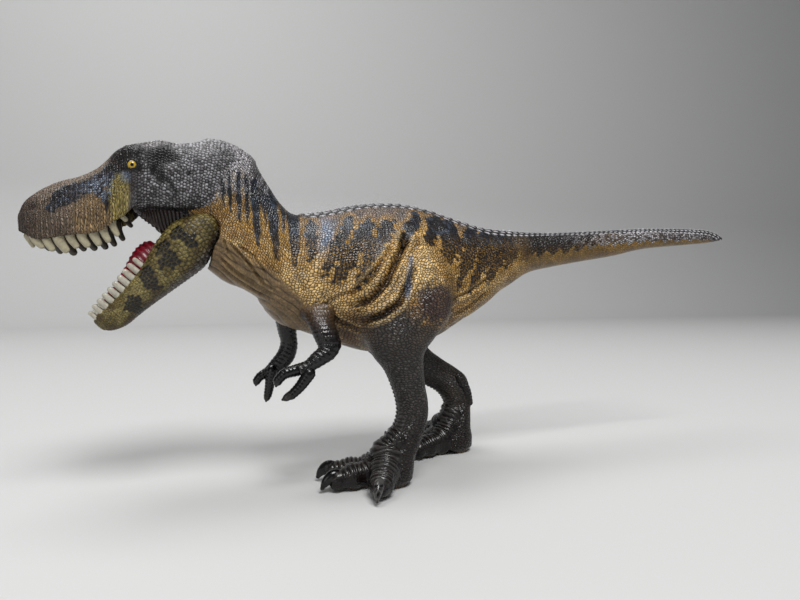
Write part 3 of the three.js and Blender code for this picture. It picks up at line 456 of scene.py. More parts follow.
@dataclass
class Grid:
    """Rings of points along a piece, with a point in the middle of each end."""

    points: Array
    along: Array
    around: Array = field(init=False)

    def __post_init__(self) -> None:
        """Sets the share of the way round of each point, from the top over the left side."""
        self.around = np.arange(self.points.shape[1]) / self.points.shape[1]

    @property
    def girth(self) -> Array:
        """Way round each ring in millimetres."""
        return np.linalg.norm(np.roll(self.points, -1, 1) - self.points, axis=-1).sum(1)

    @property
    def from_top(self) -> Array:
        """Share of the way round from the top, on either side."""
        return np.minimum(self.around, 1 - self.around)

    @property
    def way_from_top(self) -> Array:
        """Way round from the top in millimetres, on either side."""
        return self.from_top[None] * self.girth[:, None]

    def normals(self) -> Array:
        """Outward directions: the cross product of the ways along and round.

        Returns:
            A unit direction for each point.
        """
        round_way = np.roll(self.points, -1, 1) - np.roll(self.points, 1, 1)
        way = np.gradient(self.points, axis=0)
        out = np.cross(way, round_way)
        out /= np.maximum(np.linalg.norm(out, axis=-1, keepdims=True), 1e-9)
        inward = ((self.points - self.points.mean(1, keepdims=True)) * out).sum() < 0
        return -out if inward else out

    def raise_by(self, height: Array) -> None:
        """Moves each point outwards by its height."""
        self.points = self.points + self.normals() * height[..., None]

    def counted(self, size: Array) -> Array:
        """Places along the piece, counted in cells whose size changes from ring to ring."""
        return totals(np.diff(self.along) / ((size[1:] + size[:-1]) / 2))[:, None]

    def cells(self, count: int, least: float = 0.0) -> tuple[Array, Array]:
        """Places in cells: count of them round each ring, and as long as wide along the piece."""
        size = np.maximum(self.girth / count, least)
        return self.counted(size), self.around[None] * count

    def lattice(self, size: float | Array) -> Array:
        """Places in fine scales: along the piece, and down from its top on either side.

        Args:
            size: width of a fine scale in millimetres, for all rings or for each.

        Returns:
            Places whose last axis holds both counts and a zero.
        """
        size = np.broadcast_to(size, self.along.shape)
        u = self.counted(size)
        v = (0.5 - np.abs(self.around - 0.5))[None] * (self.girth / size)[:, None]
        return np.stack([np.broadcast_to(u, v.shape), v, np.zeros(v.shape)], -1)

    def at(self, u: Array, v: Array, scale_u: Array, count: int) -> Array:
        """Points of the grid nearest to places in cells, such as the middles of scales.

        Args:
            u: places along the piece in cells.
            v: places round it in cells.
            scale_u: place of each ring in cells.
            count: number of cells round.

        Returns:
            The points.
        """
        ring = np.interp(u.ravel(), scale_u.ravel(), np.arange(len(self.points)))
        i = np.clip(np.rint(ring).astype(int), 0, len(self.points) - 1)
        j = np.rint(np.mod(v.ravel() / count, 1) * self.points.shape[1]).astype(int)
        return self.points[i, j % self.points.shape[1]].reshape(u.shape + (3,))

    def scales(self, count: int, seed: int, jitter: float, least: float = 0.0) -> Scales:
        """Scales round jittered middles, one to a cell, rows being set half a cell apart.

        A point belongs to its nearest middle, and its distance from the edge is how far it is
        from the line halfway to its second nearest.

        Args:
            count: scales round each ring.
            seed: picks other scales.
            jitter: share of a cell by which a middle may stray.
            least: least length of a scale in millimetres.

        Returns:
            The scales at the grid's points.
        """
        along, round_way = self.cells(count, least)
        u, v = np.broadcast_arrays(along, round_way)
        first = np.full(u.shape, 1e9)
        second = np.full(u.shape, 1e9)
        keep = [np.zeros(u.shape) for _ in range(5)]
        for du in (-1, 0, 1):
            row = np.floor(u) + du
            lean = 0.5 * np.mod(row, 2)
            for dv in (-1, 0, 1):
                column = np.floor(v - lean) + dv
                code = np.mod(column, count)
                pu = row + 0.5 + jitter * (chance(row, code, seed) - 0.5)
                pv = column + 0.5 + lean + jitter * (chance(row, code, seed + 1) - 0.5)
                gap = (u - pu) ** 2 + (v - pv) ** 2
                nearer = gap < first
                moved = (gap < second) & ~nearer
                second = np.where(nearer, first, np.where(moved, gap, second))
                keep[3] = np.where(nearer, keep[0], np.where(moved, pu, keep[3]))
                keep[4] = np.where(nearer, keep[1], np.where(moved, pv, keep[4]))
                first = np.where(nearer, gap, first)
                keep[0], keep[1] = np.where(nearer, pu, keep[0]), np.where(nearer, pv, keep[1])
                keep[2] = np.where(nearer, chance(row, code, seed + 2), keep[2])
        apart = np.sqrt((keep[0] - keep[3]) ** 2 + (keep[1] - keep[4]) ** 2)
        return Scales((second - first) / (2 * np.maximum(apart, 0.2)), keep[2],
                      self.at(keep[0], keep[1], along, count))


@dataclass
class Loft:
    """Skin through the sections of a table, each a round-cornered (superelliptic) ring."""

    rows: Array
    step: float
    sides: int
    power: float = 2.2
    low_power: float = 0.0
    start_cap: float = 0.0
    end_cap: float = 0.0

    def section(self, row: Array) -> Array:
        """One ring: the radius at an angle is that at which the sum of powers is one.

        Args:
            row: x and z of two opposite points, half width and place across.

        Returns:
            Points evenly spaced round the ring, from the top over the left side.
        """
        x1, z1, x2, z2, half_width, y = row
        centre = np.array([(x1 + x2) / 2, y, (z1 + z2) / 2])
        half = np.array([(x1 - x2) / 2, 0.0, (z1 - z2) / 2])
        tall = max(np.linalg.norm(half), 1e-6)
        angle = np.linspace(0, 2 * np.pi, 361)
        power = np.where(np.cos(angle) < 0, self.low_power or self.power, self.power)
        c, s = np.abs(np.cos(angle)), np.abs(np.sin(angle))
        radius = ((c / tall) ** power + (s / half_width) ** power) ** (-1 / power)
        up, out = radius * np.cos(angle), -radius * np.sin(angle)
        length = totals(np.hypot(np.diff(up), np.diff(out)))
        even = np.linspace(0, length[-1], self.sides + 1)[:-1]
        up, out = np.interp(even, length, up), np.interp(even, length, out)
        return centre + up[:, None] * half / tall + out[:, None] * np.array([0, 1.0, 0])

    def capped(self, rows: Array, way: Array, depth: float) -> Array:
        """Sections that round off an end: they shrink as a cosine while they go on as a sine.

        Args:
            rows: the end's row.
            way: direction out of the end.
            depth: how far they go on.

        Returns:
            The new rows, from the end outwards.
        """
        turn = np.linspace(0, np.pi / 2, max(int(depth * 1.6 / self.step), 5) + 1)[1:]
        centre = (rows[0:2] + rows[2:4]) / 2
        shrink = np.maximum(np.cos(turn), 0.02)[:, None]
        centres = centre + np.sin(turn)[:, None] * depth * way
        half = (rows[0:2] - rows[2:4]) / 2 * shrink
        rest = np.broadcast_to(rows[5], (len(turn), 1))
        return np.hstack([centres + half, centres - half, rows[4] * shrink, rest])

    def grid(self) -> Grid:
        """Rings evenly spaced along the middle line, with rounded ends where they are asked.

        Returns:
            The grid.
        """
        dense = spread(self.rows, np.linspace(0, len(self.rows) - 1, 40 * len(self.rows)))
        middle = (dense[:, 0:2] + dense[:, 2:4]) / 2
        rows = evened(dense, middle, self.step, 4)
        line = (rows[:, 0:2] + rows[:, 2:4]) / 2
        if self.start_cap:
            cap = self.capped(rows[0], unit(line[0] - line[1]), self.start_cap)
            rows = np.vstack([cap[::-1], rows])
        if self.end_cap:
            cap = self.capped(rows[-1], unit(line[-1] - line[-2]), self.end_cap)
            rows = np.vstack([rows, cap])
        points = np.stack([self.section(row) for row in rows])
        return Grid(points, way_along(points.mean(1)))


def tube(line: Sequence[Array], radii: Sequence[float], spacing: float, sides: int,
         flat: float = 1.0) -> Grid:
    """Round tapered skin along a bent line, with both ends rounded.

    Args:
        line: corners of the middle line, through which a smooth curve runs.
        radii: radii at those corners.
        spacing: distance between rings.
        sides: points round a ring.
        flat: share by which the ring is thinner across than up.

    Returns:
        The skin's grid.
    """
    table = np.column_stack([np.array(line, float), np.array(radii, float)])
    dense = spread(table, np.linspace(0, len(table) - 1, 30 * len(table)))
    rows = evened(dense, dense[:, :3], spacing, 6)
    middle, radius = rows[:, :3], rows[:, 3]
    way = np.gradient(middle, axis=0)
    way /= np.linalg.norm(way, axis=1, keepdims=True)
    ease = np.linspace(0, np.pi / 2, 6)
    tip = np.maximum(np.cos(ease[1:]), 0.05)
    middle = np.vstack([middle[0] - way[0] * radius[0] * np.sin(ease[1:])[::-1, None], middle,
                        middle[-1] + way[-1] * radius[-1] * np.sin(ease[1:])[:, None]])
    radius = np.concatenate([radius[0] * tip[::-1], radius, radius[-1] * tip])
    way = np.vstack([np.repeat(way[:1], 5, 0), way, np.repeat(way[-1:], 5, 0)])
    side = np.cross(way, (0.0, 0.0, 1.0))
    side /= np.maximum(np.linalg.norm(side, axis=1, keepdims=True), 1e-6)
    lift = np.cross(side, way)
    angle = np.linspace(0, 2 * np.pi, sides + 1)[:-1]
    ring = (np.cos(angle)[None, :, None] * lift[:, None]
            + flat * np.sin(angle)[None, :, None] * side[:, None])
    return Grid(middle[:, None] + radius[:, None, None] * ring, way_along(middle))


def gap_to(points: Array, samples: Array, normals: Array) -> Array:
    """Signed distance to a sampled skin: the way from the nearest sample along its normal.

    Args:
        points: places, one a row.
        samples: points of the skin.
        normals: its outward directions there.

    Returns:
        Distances, below 0 inside.
    """
    result = np.empty(len(points))
    squares = (samples ** 2).sum(1)
    for start in range(0, len(points), AT_ONCE):
        part = points[start:start + AT_ONCE]
        nearest = np.argmin(squares[None] - 2 * part @ samples.T, axis=1)
        away = part - samples[nearest]
        result[start:start + AT_ONCE] = (away * normals[nearest]).sum(1)
    return result


def melted(skin: Grid, other: Grid, reach: float, thin: int = 4) -> Array:
    """Skin flowed into another one, so that no hard line shows where they cross.

    Each point goes out along its normal until the smooth least of its distances to both skins
    is zero, and points inside the other skin sink a little below it.

    Args:
        skin: the skin that is moved.
        other: the skin that it flows into.
        reach: width of the soft join.
        thin: every how manieth point of the other skin is looked at.

    Returns:
        The moved points.
    """
    normals = skin.normals().reshape(-1, 3)
    points = skin.points.reshape(-1, 3)
    samples = other.points[::thin, ::thin].reshape(-1, 3)
    ways = other.normals()[::thin, ::thin].reshape(-1, 3)
    low, high = samples.min(0) - reach, samples.max(0) + reach
    near = np.flatnonzero(((points > low) & (points < high)).all(1))
    moved = np.zeros(len(near))
    gap = gap_to(points[near], samples, ways)
    kept = (gap < reach) & (gap > -1.5 * reach)
    near, moved, gap = near[kept], moved[kept], gap[kept]
    for _ in range(MELT_ROUNDS):
        gap = gap_to(points[near] + normals[near] * moved[:, None], samples, ways)
        share = np.clip(1 - np.abs(moved - gap) / reach, 0, 1)
        moved = np.clip(moved - 0.8 * (np.minimum(moved, gap) - share ** 2 * reach / 4),
                        0, reach / 2)
    moved -= 0.12 * np.clip(moved - gap, 0, reach)
    result = points.copy()
    result[near] += normals[near] * moved[:, None]
    return result.reshape(skin.points.shape)


@dataclass
class Coat:
    """Paint on a grid: colour, gloss, share of fine scales and place among them."""

    colour: Array
    rough: Array
    fine: Array
    cell: Array

    @classmethod
    def of(cls, grid: Grid, tint: Tint, rough: float = 0.42, fine: float = 1.0,
           size: float | Array = 1.2) -> "Coat":
        """A coat of one paint all over a grid, with an even share of fine scales.

        Args:
            grid: the skin.
            tint: the paint.
            rough: its roughness.
            fine: share of fine scales, from 0 for a smooth skin.
            size: width of a fine scale in millimetres, for all rings or for each.

        Returns:
            The coat.
        """
        shape = grid.points.shape[:2]
        return cls(np.ones(shape + (3,)) * tint.linear, np.full(shape, rough),
                   np.full(shape, fine), grid.lattice(size))

    def part(self, rings: slice) -> "Coat":
        """The coat of some of the rings."""
        return Coat(self.colour[rings], self.rough[rings], self.fine[rings], self.cell[rings])

    def lay(self, share: Array, tint: Tint, rough: float | None = None) -> None:
        """Lays a paint over the others, as thick as its share.

        Args:
            share: how much of it covers each point.
            tint: the paint.
            rough: its roughness, or none to leave that as it is.
        """
        share = np.broadcast_to(share, self.rough.shape)
        self.colour = self.colour * (1 - share[..., None]) + tint.linear * share[..., None]
        if rough is not None:
            self.rough = self.rough * (1 - share) + rough * share


def node(tree: Tree, kind: str, inputs: dict[str | int, Socket | float | tuple],
         operation: str = "") -> bpy.types.Node:
    """Adds a node to a material and fills its inputs.

    Args:
        tree: the material's nodes.
        kind: the node's type, without its first part.
        inputs: another node's output or a value for each input, by its name or number.
        operation: what a node of numbers or directions does.

    Returns:
        The node.
    """
    made = tree.nodes.new("ShaderNode" + kind)
    if operation:
        made.operation = operation
    fill(tree, made, inputs)
    return made


def fill(tree: Tree, made: bpy.types.Node, inputs: dict[str | int, Socket | float | tuple]) -> None:
    """Fills a node's inputs, each with another node's output or a value.

    Args:
        tree: the material's nodes.
        made: the node.
        inputs: an output or a value for each input, by its name or number.
    """
    for key, value in inputs.items():
        if isinstance(value, Socket):
            tree.links.new(value, made.inputs[key])
        else:
            made.inputs[key].default_value = value


def calculated(tree: Tree, operation: str, *terms: Socket | float) -> Socket:
    """Output of a calculation with other outputs and plain numbers."""
    return node(tree, "Math", dict(enumerate(terms)), operation).outputs[0]


def ranged(tree: Tree, source: Socket, low: float, high: float, first: float,
           last: float) -> Socket:
    """Turns the values from low to high of an output into those from first to last."""
    return node(tree, "MapRange", {"From Min": low, "From Max": high, "To Min": first,
                                   "To Max": last, "Value": source}).outputs["Result"]


@dataclass(frozen=True)
class Vinyl:
    """Painted vinyl: the painted skin, closely covered with fine scales and cracks, each scale
    lighter on its top from dry-brushed paint together with painted highlight.
    """

    name: str
    stretch: tuple[float, float, float] = (1.0, 1.0, 1.0)
    chaos: float = 0.62
    depth: float = 0.00018
    crack: float = 0.92
    tops: float = 1.0
    mottle: float = 0.24
    shine: float = 0.28
    coat: float = 0.1
    coat_rough: float = 0.16
    wear_scale: float = 160.0
    bend_scale: float = 190.0
    bend: tuple[float, float, float] = (2.4, 2.4, 0.0)

    def material(self) -> Material:
        """Makes the node material, which reads the painted attributes and Object coordinates.

        Returns:
            The material.
        """
        material = bpy.data.materials.new(self.name)
        material.use_nodes = True
        tree = material.node_tree
        paint, rough, fine = (self.attribute(tree, name) for name in ("paint", "rough", "fine"))
        place = node(tree, "TexCoord", {}).outputs["Object"]
        bent = self.bent(tree, place)
        edge = self.cells(tree, bent, "DISTANCE_TO_EDGE").outputs["Distance"]
        luck = self.cells(tree, bent, "F1").outputs["Color"]
        wear = node(tree, "TexNoise", {"Scale": self.wear_scale, "Detail": 4.0, "Vector": place})
        dull, bright = 1 - self.mottle, 1 + self.mottle
        single = node(tree, "SeparateColor", {"Color": luck}).outputs["Red"]
        lucky = ranged(tree, single, 0.0, 1.0, dull, bright)
        worn = ranged(tree, wear.outputs["Fac"], 0.3, 0.7, dull, bright)
        rise = calculated(tree, "MULTIPLY", ranged(tree, edge, 0.0, 0.4, 0.0, 1.0), fine)
        gap = calculated(tree, "MULTIPLY", ranged(tree, edge, 0.02, 0.16, 1.0, 0.0), fine)
        # Painted highlight together with dry-brushed paint: each fine scale is darker at its foot
        # and lighter on its top.
        light = calculated(tree, "MULTIPLY_ADD", rise, self.tops, 1 - self.tops / 2)
        keep = calculated(tree, "MULTIPLY_ADD", gap, -self.crack, 1.0)
        factor = calculated(tree, "MULTIPLY", calculated(tree, "MULTIPLY", light, keep),
                            calculated(tree, "MULTIPLY", lucky, worn))
        tint = node(tree, "VectorMath", {0: paint, "Scale": factor}, "SCALE")
        bump = node(tree, "Bump", {"Distance": self.depth, "Height": rise}).outputs["Normal"]
        fill(tree, tree.nodes["Principled BSDF"], {
            "Coat Weight": self.coat, "Coat Roughness": self.coat_rough,
            "Specular IOR Level": self.shine, "Base Color": tint.outputs["Vector"],
            "Roughness": calculated(tree, "MULTIPLY", rough, worn), "Normal": bump,
            "Coat Normal": bump})
        return material

    @staticmethod
    def attribute(tree: Tree, name: str) -> Socket:
        """Output of an attribute painted on the skin.

        Args:
            tree: the material's nodes.
            name: the attribute's name.

        Returns:
            The socket.
        """
        made = node(tree, "Attribute", {})
        made.attribute_name = name
        return made.outputs[{"paint": "Color", "cell": "Vector"}.get(name, "Fac")]

    def bent(self, tree: Tree, place: Socket) -> Socket:
        """Places among the fine scales, bent a little so that the rows wander.

        Args:
            tree: the material's nodes.
            place: where the skin lies, in Object coordinates.

        Returns:
            The bent places.
        """
        bend = node(tree, "TexNoise", {"Scale": self.bend_scale, "Detail": 1.0, "Vector": place})
        shift = node(tree, "VectorMath", {0: bend.outputs["Color"], 1: self.bend,
                                          2: self.attribute(tree, "cell")}, "MULTIPLY_ADD")
        return node(tree, "VectorMath", {0: shift.outputs["Vector"], 1: self.stretch},
                    "MULTIPLY").outputs["Vector"]

    def cells(self, tree: Tree, place: Socket, feature: str) -> bpy.types.Node:
        """Cell noise of the fine scales, one scale to a unit square.

        Args:
            tree: the material's nodes.
            place: where it is looked up.
            feature: what it gives, such as the distance to an edge.

        Returns:
            The node.
        """
        made = node(tree, "TexVoronoi", {"Scale": 1.0, "Randomness": self.chaos, "Vector": place})
        made.voronoi_dimensions = "2D"
        made.feature = feature
        return made


@dataclass(frozen=True)
class Steel:
    """Drawn steel of the hinge's pin, with fine scratches across it."""

    name: str = "pin_steel"
    rough: float = 0.35
    scratch_scale: float = 2500.0

    def material(self) -> Material:
        """Makes the node material on Object coordinates.

        Returns:
            The material.
        """
        material = bpy.data.materials.new(self.name)
        material.use_nodes = True
        tree = material.node_tree
        place = node(tree, "TexCoord", {}).outputs["Object"]
        scratch = node(tree, "TexNoise", {"Scale": self.scratch_scale, "Vector": place})
        ramp = node(tree, "ValToRGB", {"Fac": scratch.outputs["Fac"]})
        ramp.color_ramp.elements[0].color = (0.32, 0.32, 0.33, 1)
        ramp.color_ramp.elements[1].color = (0.52, 0.52, 0.53, 1)
        fill(tree, tree.nodes["Principled BSDF"], {
            "Metallic": 1.0, "Roughness": self.rough, "Base Color": ramp.outputs["Color"]})
        return material


@dataclass
class Shell:
    """Closed part of a piece: a grid with its coat."""

    grid: Grid
    coat: Coat
    sharp_start: bool = False
    sharp_end: bool = False


def added(name: str, data: bpy.types.ID) -> Object:
    """A new object that is put into the scene.

    Args:
        name: the object's name.
        data: its mesh, lamp or camera.

    Returns:
        The object.
    """
    made = bpy.data.objects.new(name, data)
    bpy.context.scene.collection.objects.link(made)
    return made


def faces_of(shell: Shell, offset: int) -> tuple[list, list, list, Array]:
    """Corners and faces of a shell, with fans on its ends.

    Args:
        shell: the shell.
        offset: number of corners before its first.

    Returns:
        Corners, four-sided faces, three-sided faces, and the paint of the corners.
    """
    points = shell.grid.points
    rings, sides = points.shape[:2]
    flat = points.reshape(-1, 3)
    corners = np.vstack([flat, points[0].mean(0), points[-1].mean(0)])
    i = np.arange(sides)
    j = (i + 1) % sides
    base = (np.arange(rings - 1) * sides)[:, None]
    quads = np.stack([base + i, base + j, base + sides + j, base + sides + i], -1).reshape(-1, 4)
    end = (rings - 1) * sides
    first = np.column_stack([np.full(sides, rings * sides), j, i])
    last = np.column_stack([np.full(sides, rings * sides + 1), end + i, end + j])
    fans = np.vstack([first, last])
    a, b, c = (corners[quads[:, k]] for k in (0, 1, 2))
    d = corners[quads[:, 3]]
    volume = (np.cross(a, b) * c).sum() + (np.cross(a, c) * d).sum()
    e, f, g = (corners[fans[:, k]] for k in (0, 1, 2))
    volume += (np.cross(e, f) * g).sum()
    if volume < 0:
        quads, fans = quads[:, ::-1], fans[:, ::-1]
    coat = np.dstack([shell.coat.colour, shell.coat.rough, shell.coat.fine, shell.coat.cell])
    paint = np.vstack([coat.reshape(-1, 8), coat[0].mean(0), coat[-1].mean(0)])
    return corners, quads + offset, fans + offset, paint


def piece(name: str, shells: Sequence[Shell], material: Material) -> Object:
    """One Blender object from closed shells, in metres and in the frame of the solids.

    Args:
        name: the object's name.
        shells: its parts.
        material: its material.

    Returns:
        The object.
    """
    corners, quads, fans, paint, sharp = [], [], [], [], []
    offset = 0
    for shell in shells:
        some = faces_of(shell, offset)
        sides = shell.grid.points.shape[1]
        last = offset + (shell.grid.points.shape[0] - 1) * sides
        for wanted, start in ((shell.sharp_start, offset), (shell.sharp_end, last)):
            sharp += [(start, start + sides)] if wanted else []
        offset += len(some[0])
        for group, value in zip((corners, quads, fans, paint), some):
            group.append(value)
    mesh = bpy.data.meshes.new(name)
    places = (np.vstack(corners) + SHIFT) / 1000
    faces = np.vstack(quads).tolist() + np.vstack(fans).tolist()
    mesh.from_pydata(places.tolist(), [], faces)
    mesh.polygons.foreach_set("use_smooth", np.ones(len(mesh.polygons), bool))
    for start, stop in sharp:
        edges = np.zeros(len(mesh.edges) * 2, int)
        mesh.edges.foreach_get("vertices", edges)
        edges = edges.reshape(-1, 2)
        on_rim = ((edges >= start) & (edges < stop)).all(1)
        old = np.zeros(len(mesh.edges), bool)
        mesh.edges.foreach_get("use_edge_sharp", old)
        mesh.edges.foreach_set("use_edge_sharp", old | on_rim)
    values = np.vstack(paint)
    colour = mesh.attributes.new("paint", "FLOAT_COLOR", "POINT")
    colour.data.foreach_set("color", np.column_stack([values[:, :3], np.ones(len(values))]).ravel())
    for name_of, column in (("rough", values[:, 3]), ("fine", values[:, 4])):
        layer = mesh.attributes.new(name_of, "FLOAT", "POINT")
        layer.data.foreach_set("value", np.clip(column, 0.0, 1.0))
    lattice = mesh.attributes.new("cell", "FLOAT_VECTOR", "POINT")
    lattice.data.foreach_set("vector", values[:, 5:8].ravel())
    mesh.materials.append(material)
    mesh.update()
    return added(name, mesh)


def dressed(name: str, shells: Sequence[Shell], material: Material, body: str, solid: str) -> Object:
    """A piece that rides on a body and takes the place of a solid.

    Args:
        name: the piece's name.
        shells: its parts.
        material: its material.
        body: the body on which it rides.
        solid: the solid whose place it takes.

    Returns:
        The object.
    """
    made = piece(name, shells, material)
    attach(made, body)
    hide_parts(solid)
    return made


def placed(shares: Array, origin: Array, along: float, up: float, width: float,
           across: float = 0.0) -> Array:
    """Rows of shares turned into millimetres, with the place across in the last column."""
    y = origin[1] + (shares[:, 5] * across if shares.shape[1] > 5 else np.zeros(len(shares)))
    return np.column_stack([origin[0] + shares[:, 0] * along, origin[2] + shares[:, 1] * up,
                            origin[0] + shares[:, 2] * along, origin[2] + shares[:, 3] * up,
                            shares[:, 4] * width, y])


def inwards(row: Array, next_row: Array, length: float, shrink: float) -> Array:
    """A row further out than the first one and smaller, so that an end sinks into its neighbour.

    Args:
        row: the first row.
        next_row: the row after it.
        length: how far out the new row lies.
        shrink: how much smaller it is on every side.

    Returns:
        The new row.
    """
    way = (row[0:2] + row[2:4] - next_row[0:2] - next_row[2:4]) / 2
    centre = (row[0:2] + row[2:4]) / 2 + length * way / np.linalg.norm(way)
    half = (row[0:2] - row[2:4]) / 2
    half = half * (1 - shrink / np.linalg.norm(half))
    return np.concatenate([centre + half, centre - half, [row[4] - shrink, row[5]]])


def jaw_frame(points: Array, degrees: float) -> Array:
    """Points turned about the hinge, from the level jaw to where it hangs at an angle.

    Args:
        points: places about the hinge.
        degrees: the angle, below 0 where the jaw hangs open.

    Returns:
        The turned points.
    """
    a = math.radians(degrees)
    x, z = points[..., 0], points[..., 2]
    return np.stack([x * math.cos(a) + z * math.sin(a), points[..., 1],
                     z * math.cos(a) - x * math.sin(a)], -1)


def swept(rows: Array, points: Array, grow: float) -> Array:
    """Whether points lie in the space through which a part of the jaw turns.

    Args:
        rows: the part's rows about the hinge, before it hangs open.
        points: places to look at.
        grow: length by which the part is grown.

    Returns:
        True for each point that the part passes through at some turn.
    """
    rows = spread(rows, np.linspace(0, len(rows) - 1, SWEPT_ROWS))
    rows = rows[np.argsort((rows[:, 0] + rows[:, 2]) / 2)]
    place = (rows[:, 0] + rows[:, 2]) / 2
    hit = np.zeros(points.shape[:-1], bool)
    for turn in JAW_TURNS:
        local = jaw_frame(points - HINGE, -(turn - JAW_DROP))
        x = local[..., 0]
        top, low, wide = (np.interp(x, place, rows[:, k]) for k in (1, 3, 4))
        z = (local[..., 2] - (top + low) / 2) / ((top - low) / 2 + grow)
        y = local[..., 1] / (wide + grow)
        ends = (x > place[0] - grow) & (x < place[-1] + grow)
        hit |= (np.abs(z) ** SWEPT_POWER + np.abs(y) ** SWEPT_POWER < 1) & ends
    return hit


def level(shares: Array, width: float) -> Array:
    """Rows of a part of the jaw about the hinge, before it hangs open."""
    return placed(shares, np.zeros(3), JAW_LENGTH, JAW_DEPTH, width)


def cleared(points: Array, rows: Array, way: Array, room: float,
            among: Array | bool = True) -> Array:
    """Moves points out of the space through which a part of the jaw turns.

    Args:
        points: the points.
        rows: the part's rows, still level.
        way: a small step, taken until the part misses the point or its steps are used up.
        room: gap that is left to the part.
        among: which points may move.

    Returns:
        The moved points.
    """
    moved = points.copy()
    for _ in range(MOST_STEPS):
        hit = swept(rows, moved, room) & among
        if not hit.any():
            break
        moved[hit] += way
    return moved


def paint_hide(coat: Coat, marks: Array) -> None:
    """Zones that flank and thigh share: gold, painted highlights on the thigh front and the front
    flank, brown blotch, charcoal below, painted shade at the arm's root.

    Args:
        coat: the coat that is painted.
        marks: marks of its points.
    """
    px, py = marks[..., 0], marks[..., 1]
    coat.lay(0.4 * step(clouds(marks, 9.0, 3), 0.45, 0.8), Tint.PALE_GOLD)
    coat.lay(0.6 * step(clouds(marks, 15.0, 4) + 0.3 * clouds(marks, 4.0, 5), 0.6, 1.1), Tint.BROWN)
    low = step(py - np.interp(px, (290, 330, 380, 400), (292, 304, 302, 296)), 0, 16)
    coat.lay(0.75 * low * fall(px, 404, 424), Tint.BROWN, 0.36)
    # Painted highlight: pale gold spot on the bulge of the thigh's front.
    coat.lay(0.55 * spot(marks, (425, 272), (15, 25), 12, 0.7), Tint.PALE_GOLD, 0.26)
    # Painted highlight: pale gold spot on the front of the flank.
    coat.lay(0.5 * spot(marks, (318, 284), (32, 24), 20, 0.9), Tint.PALE_GOLD, 0.26)
    coat.lay(0.8 * stripe(marks, ((411, 258), (409, 280), (408, 298)), (2.2, 3.6, 2.2), 3.0),
             Tint.BLUE, 0.26)
    shake = 0.5 * (clouds(marks, 4.0, 7) - 0.5) + 0.3 * (clouds(marks, 1.6, 8) - 0.5)
    blotch = step(spot(marks, (435, 304), (23, 27), 0, 0.8) + shake, 0.1, 0.8)
    coat.lay(0.92 * blotch, Tint.PLUM, 0.36)
    edge = np.interp(px, (360, 385, 405, 425, 450, 480), (322, 312, 306, 322, 330, 340))
    lower = step(py - edge + 18 * shake, -14, 14) * step(px, 350, 380)
    coat.lay(0.94 * lower, Tint.CHARCOAL, 0.34)
    # Painted shade: dark brown round the arm's root, in the armpit.
    coat.lay(0.7 * spot(marks, (318, 318), (19, 13), 0, 0.9), Tint.DEEP_BROWN, 0.28)
    coat.lay(0.45 * step(px, 462, 482) * step(py, 276, 300), Tint.OCHRE)


def carved(marks: Array, cuts: Sequence[tuple[Line, float, float]]) -> Array:
    """Depth of creases: each is a rounded groove along a line, with raised banks beside it.

    Args:
        marks: marks of the places.
        cuts: line, half width and depth of each crease, which fades at its ends.

    Returns:
        Heights in millimetres, below 0 in a crease.
    """
    height = np.zeros(marks.shape[:-1])
    for line, width, depth in cuts:
        gap, place = line_distance(marks, line)
        ends = step(place, 0.0, 0.15) * fall(place, 0.85, 1.0) * 0.9 + 0.1
        groove = np.exp(-((gap / width) ** 2))
        bank = np.exp(-(((gap - 2.1 * width) / (1.1 * width)) ** 2))
        height += depth * ends * (0.45 * bank - groove)
    return height


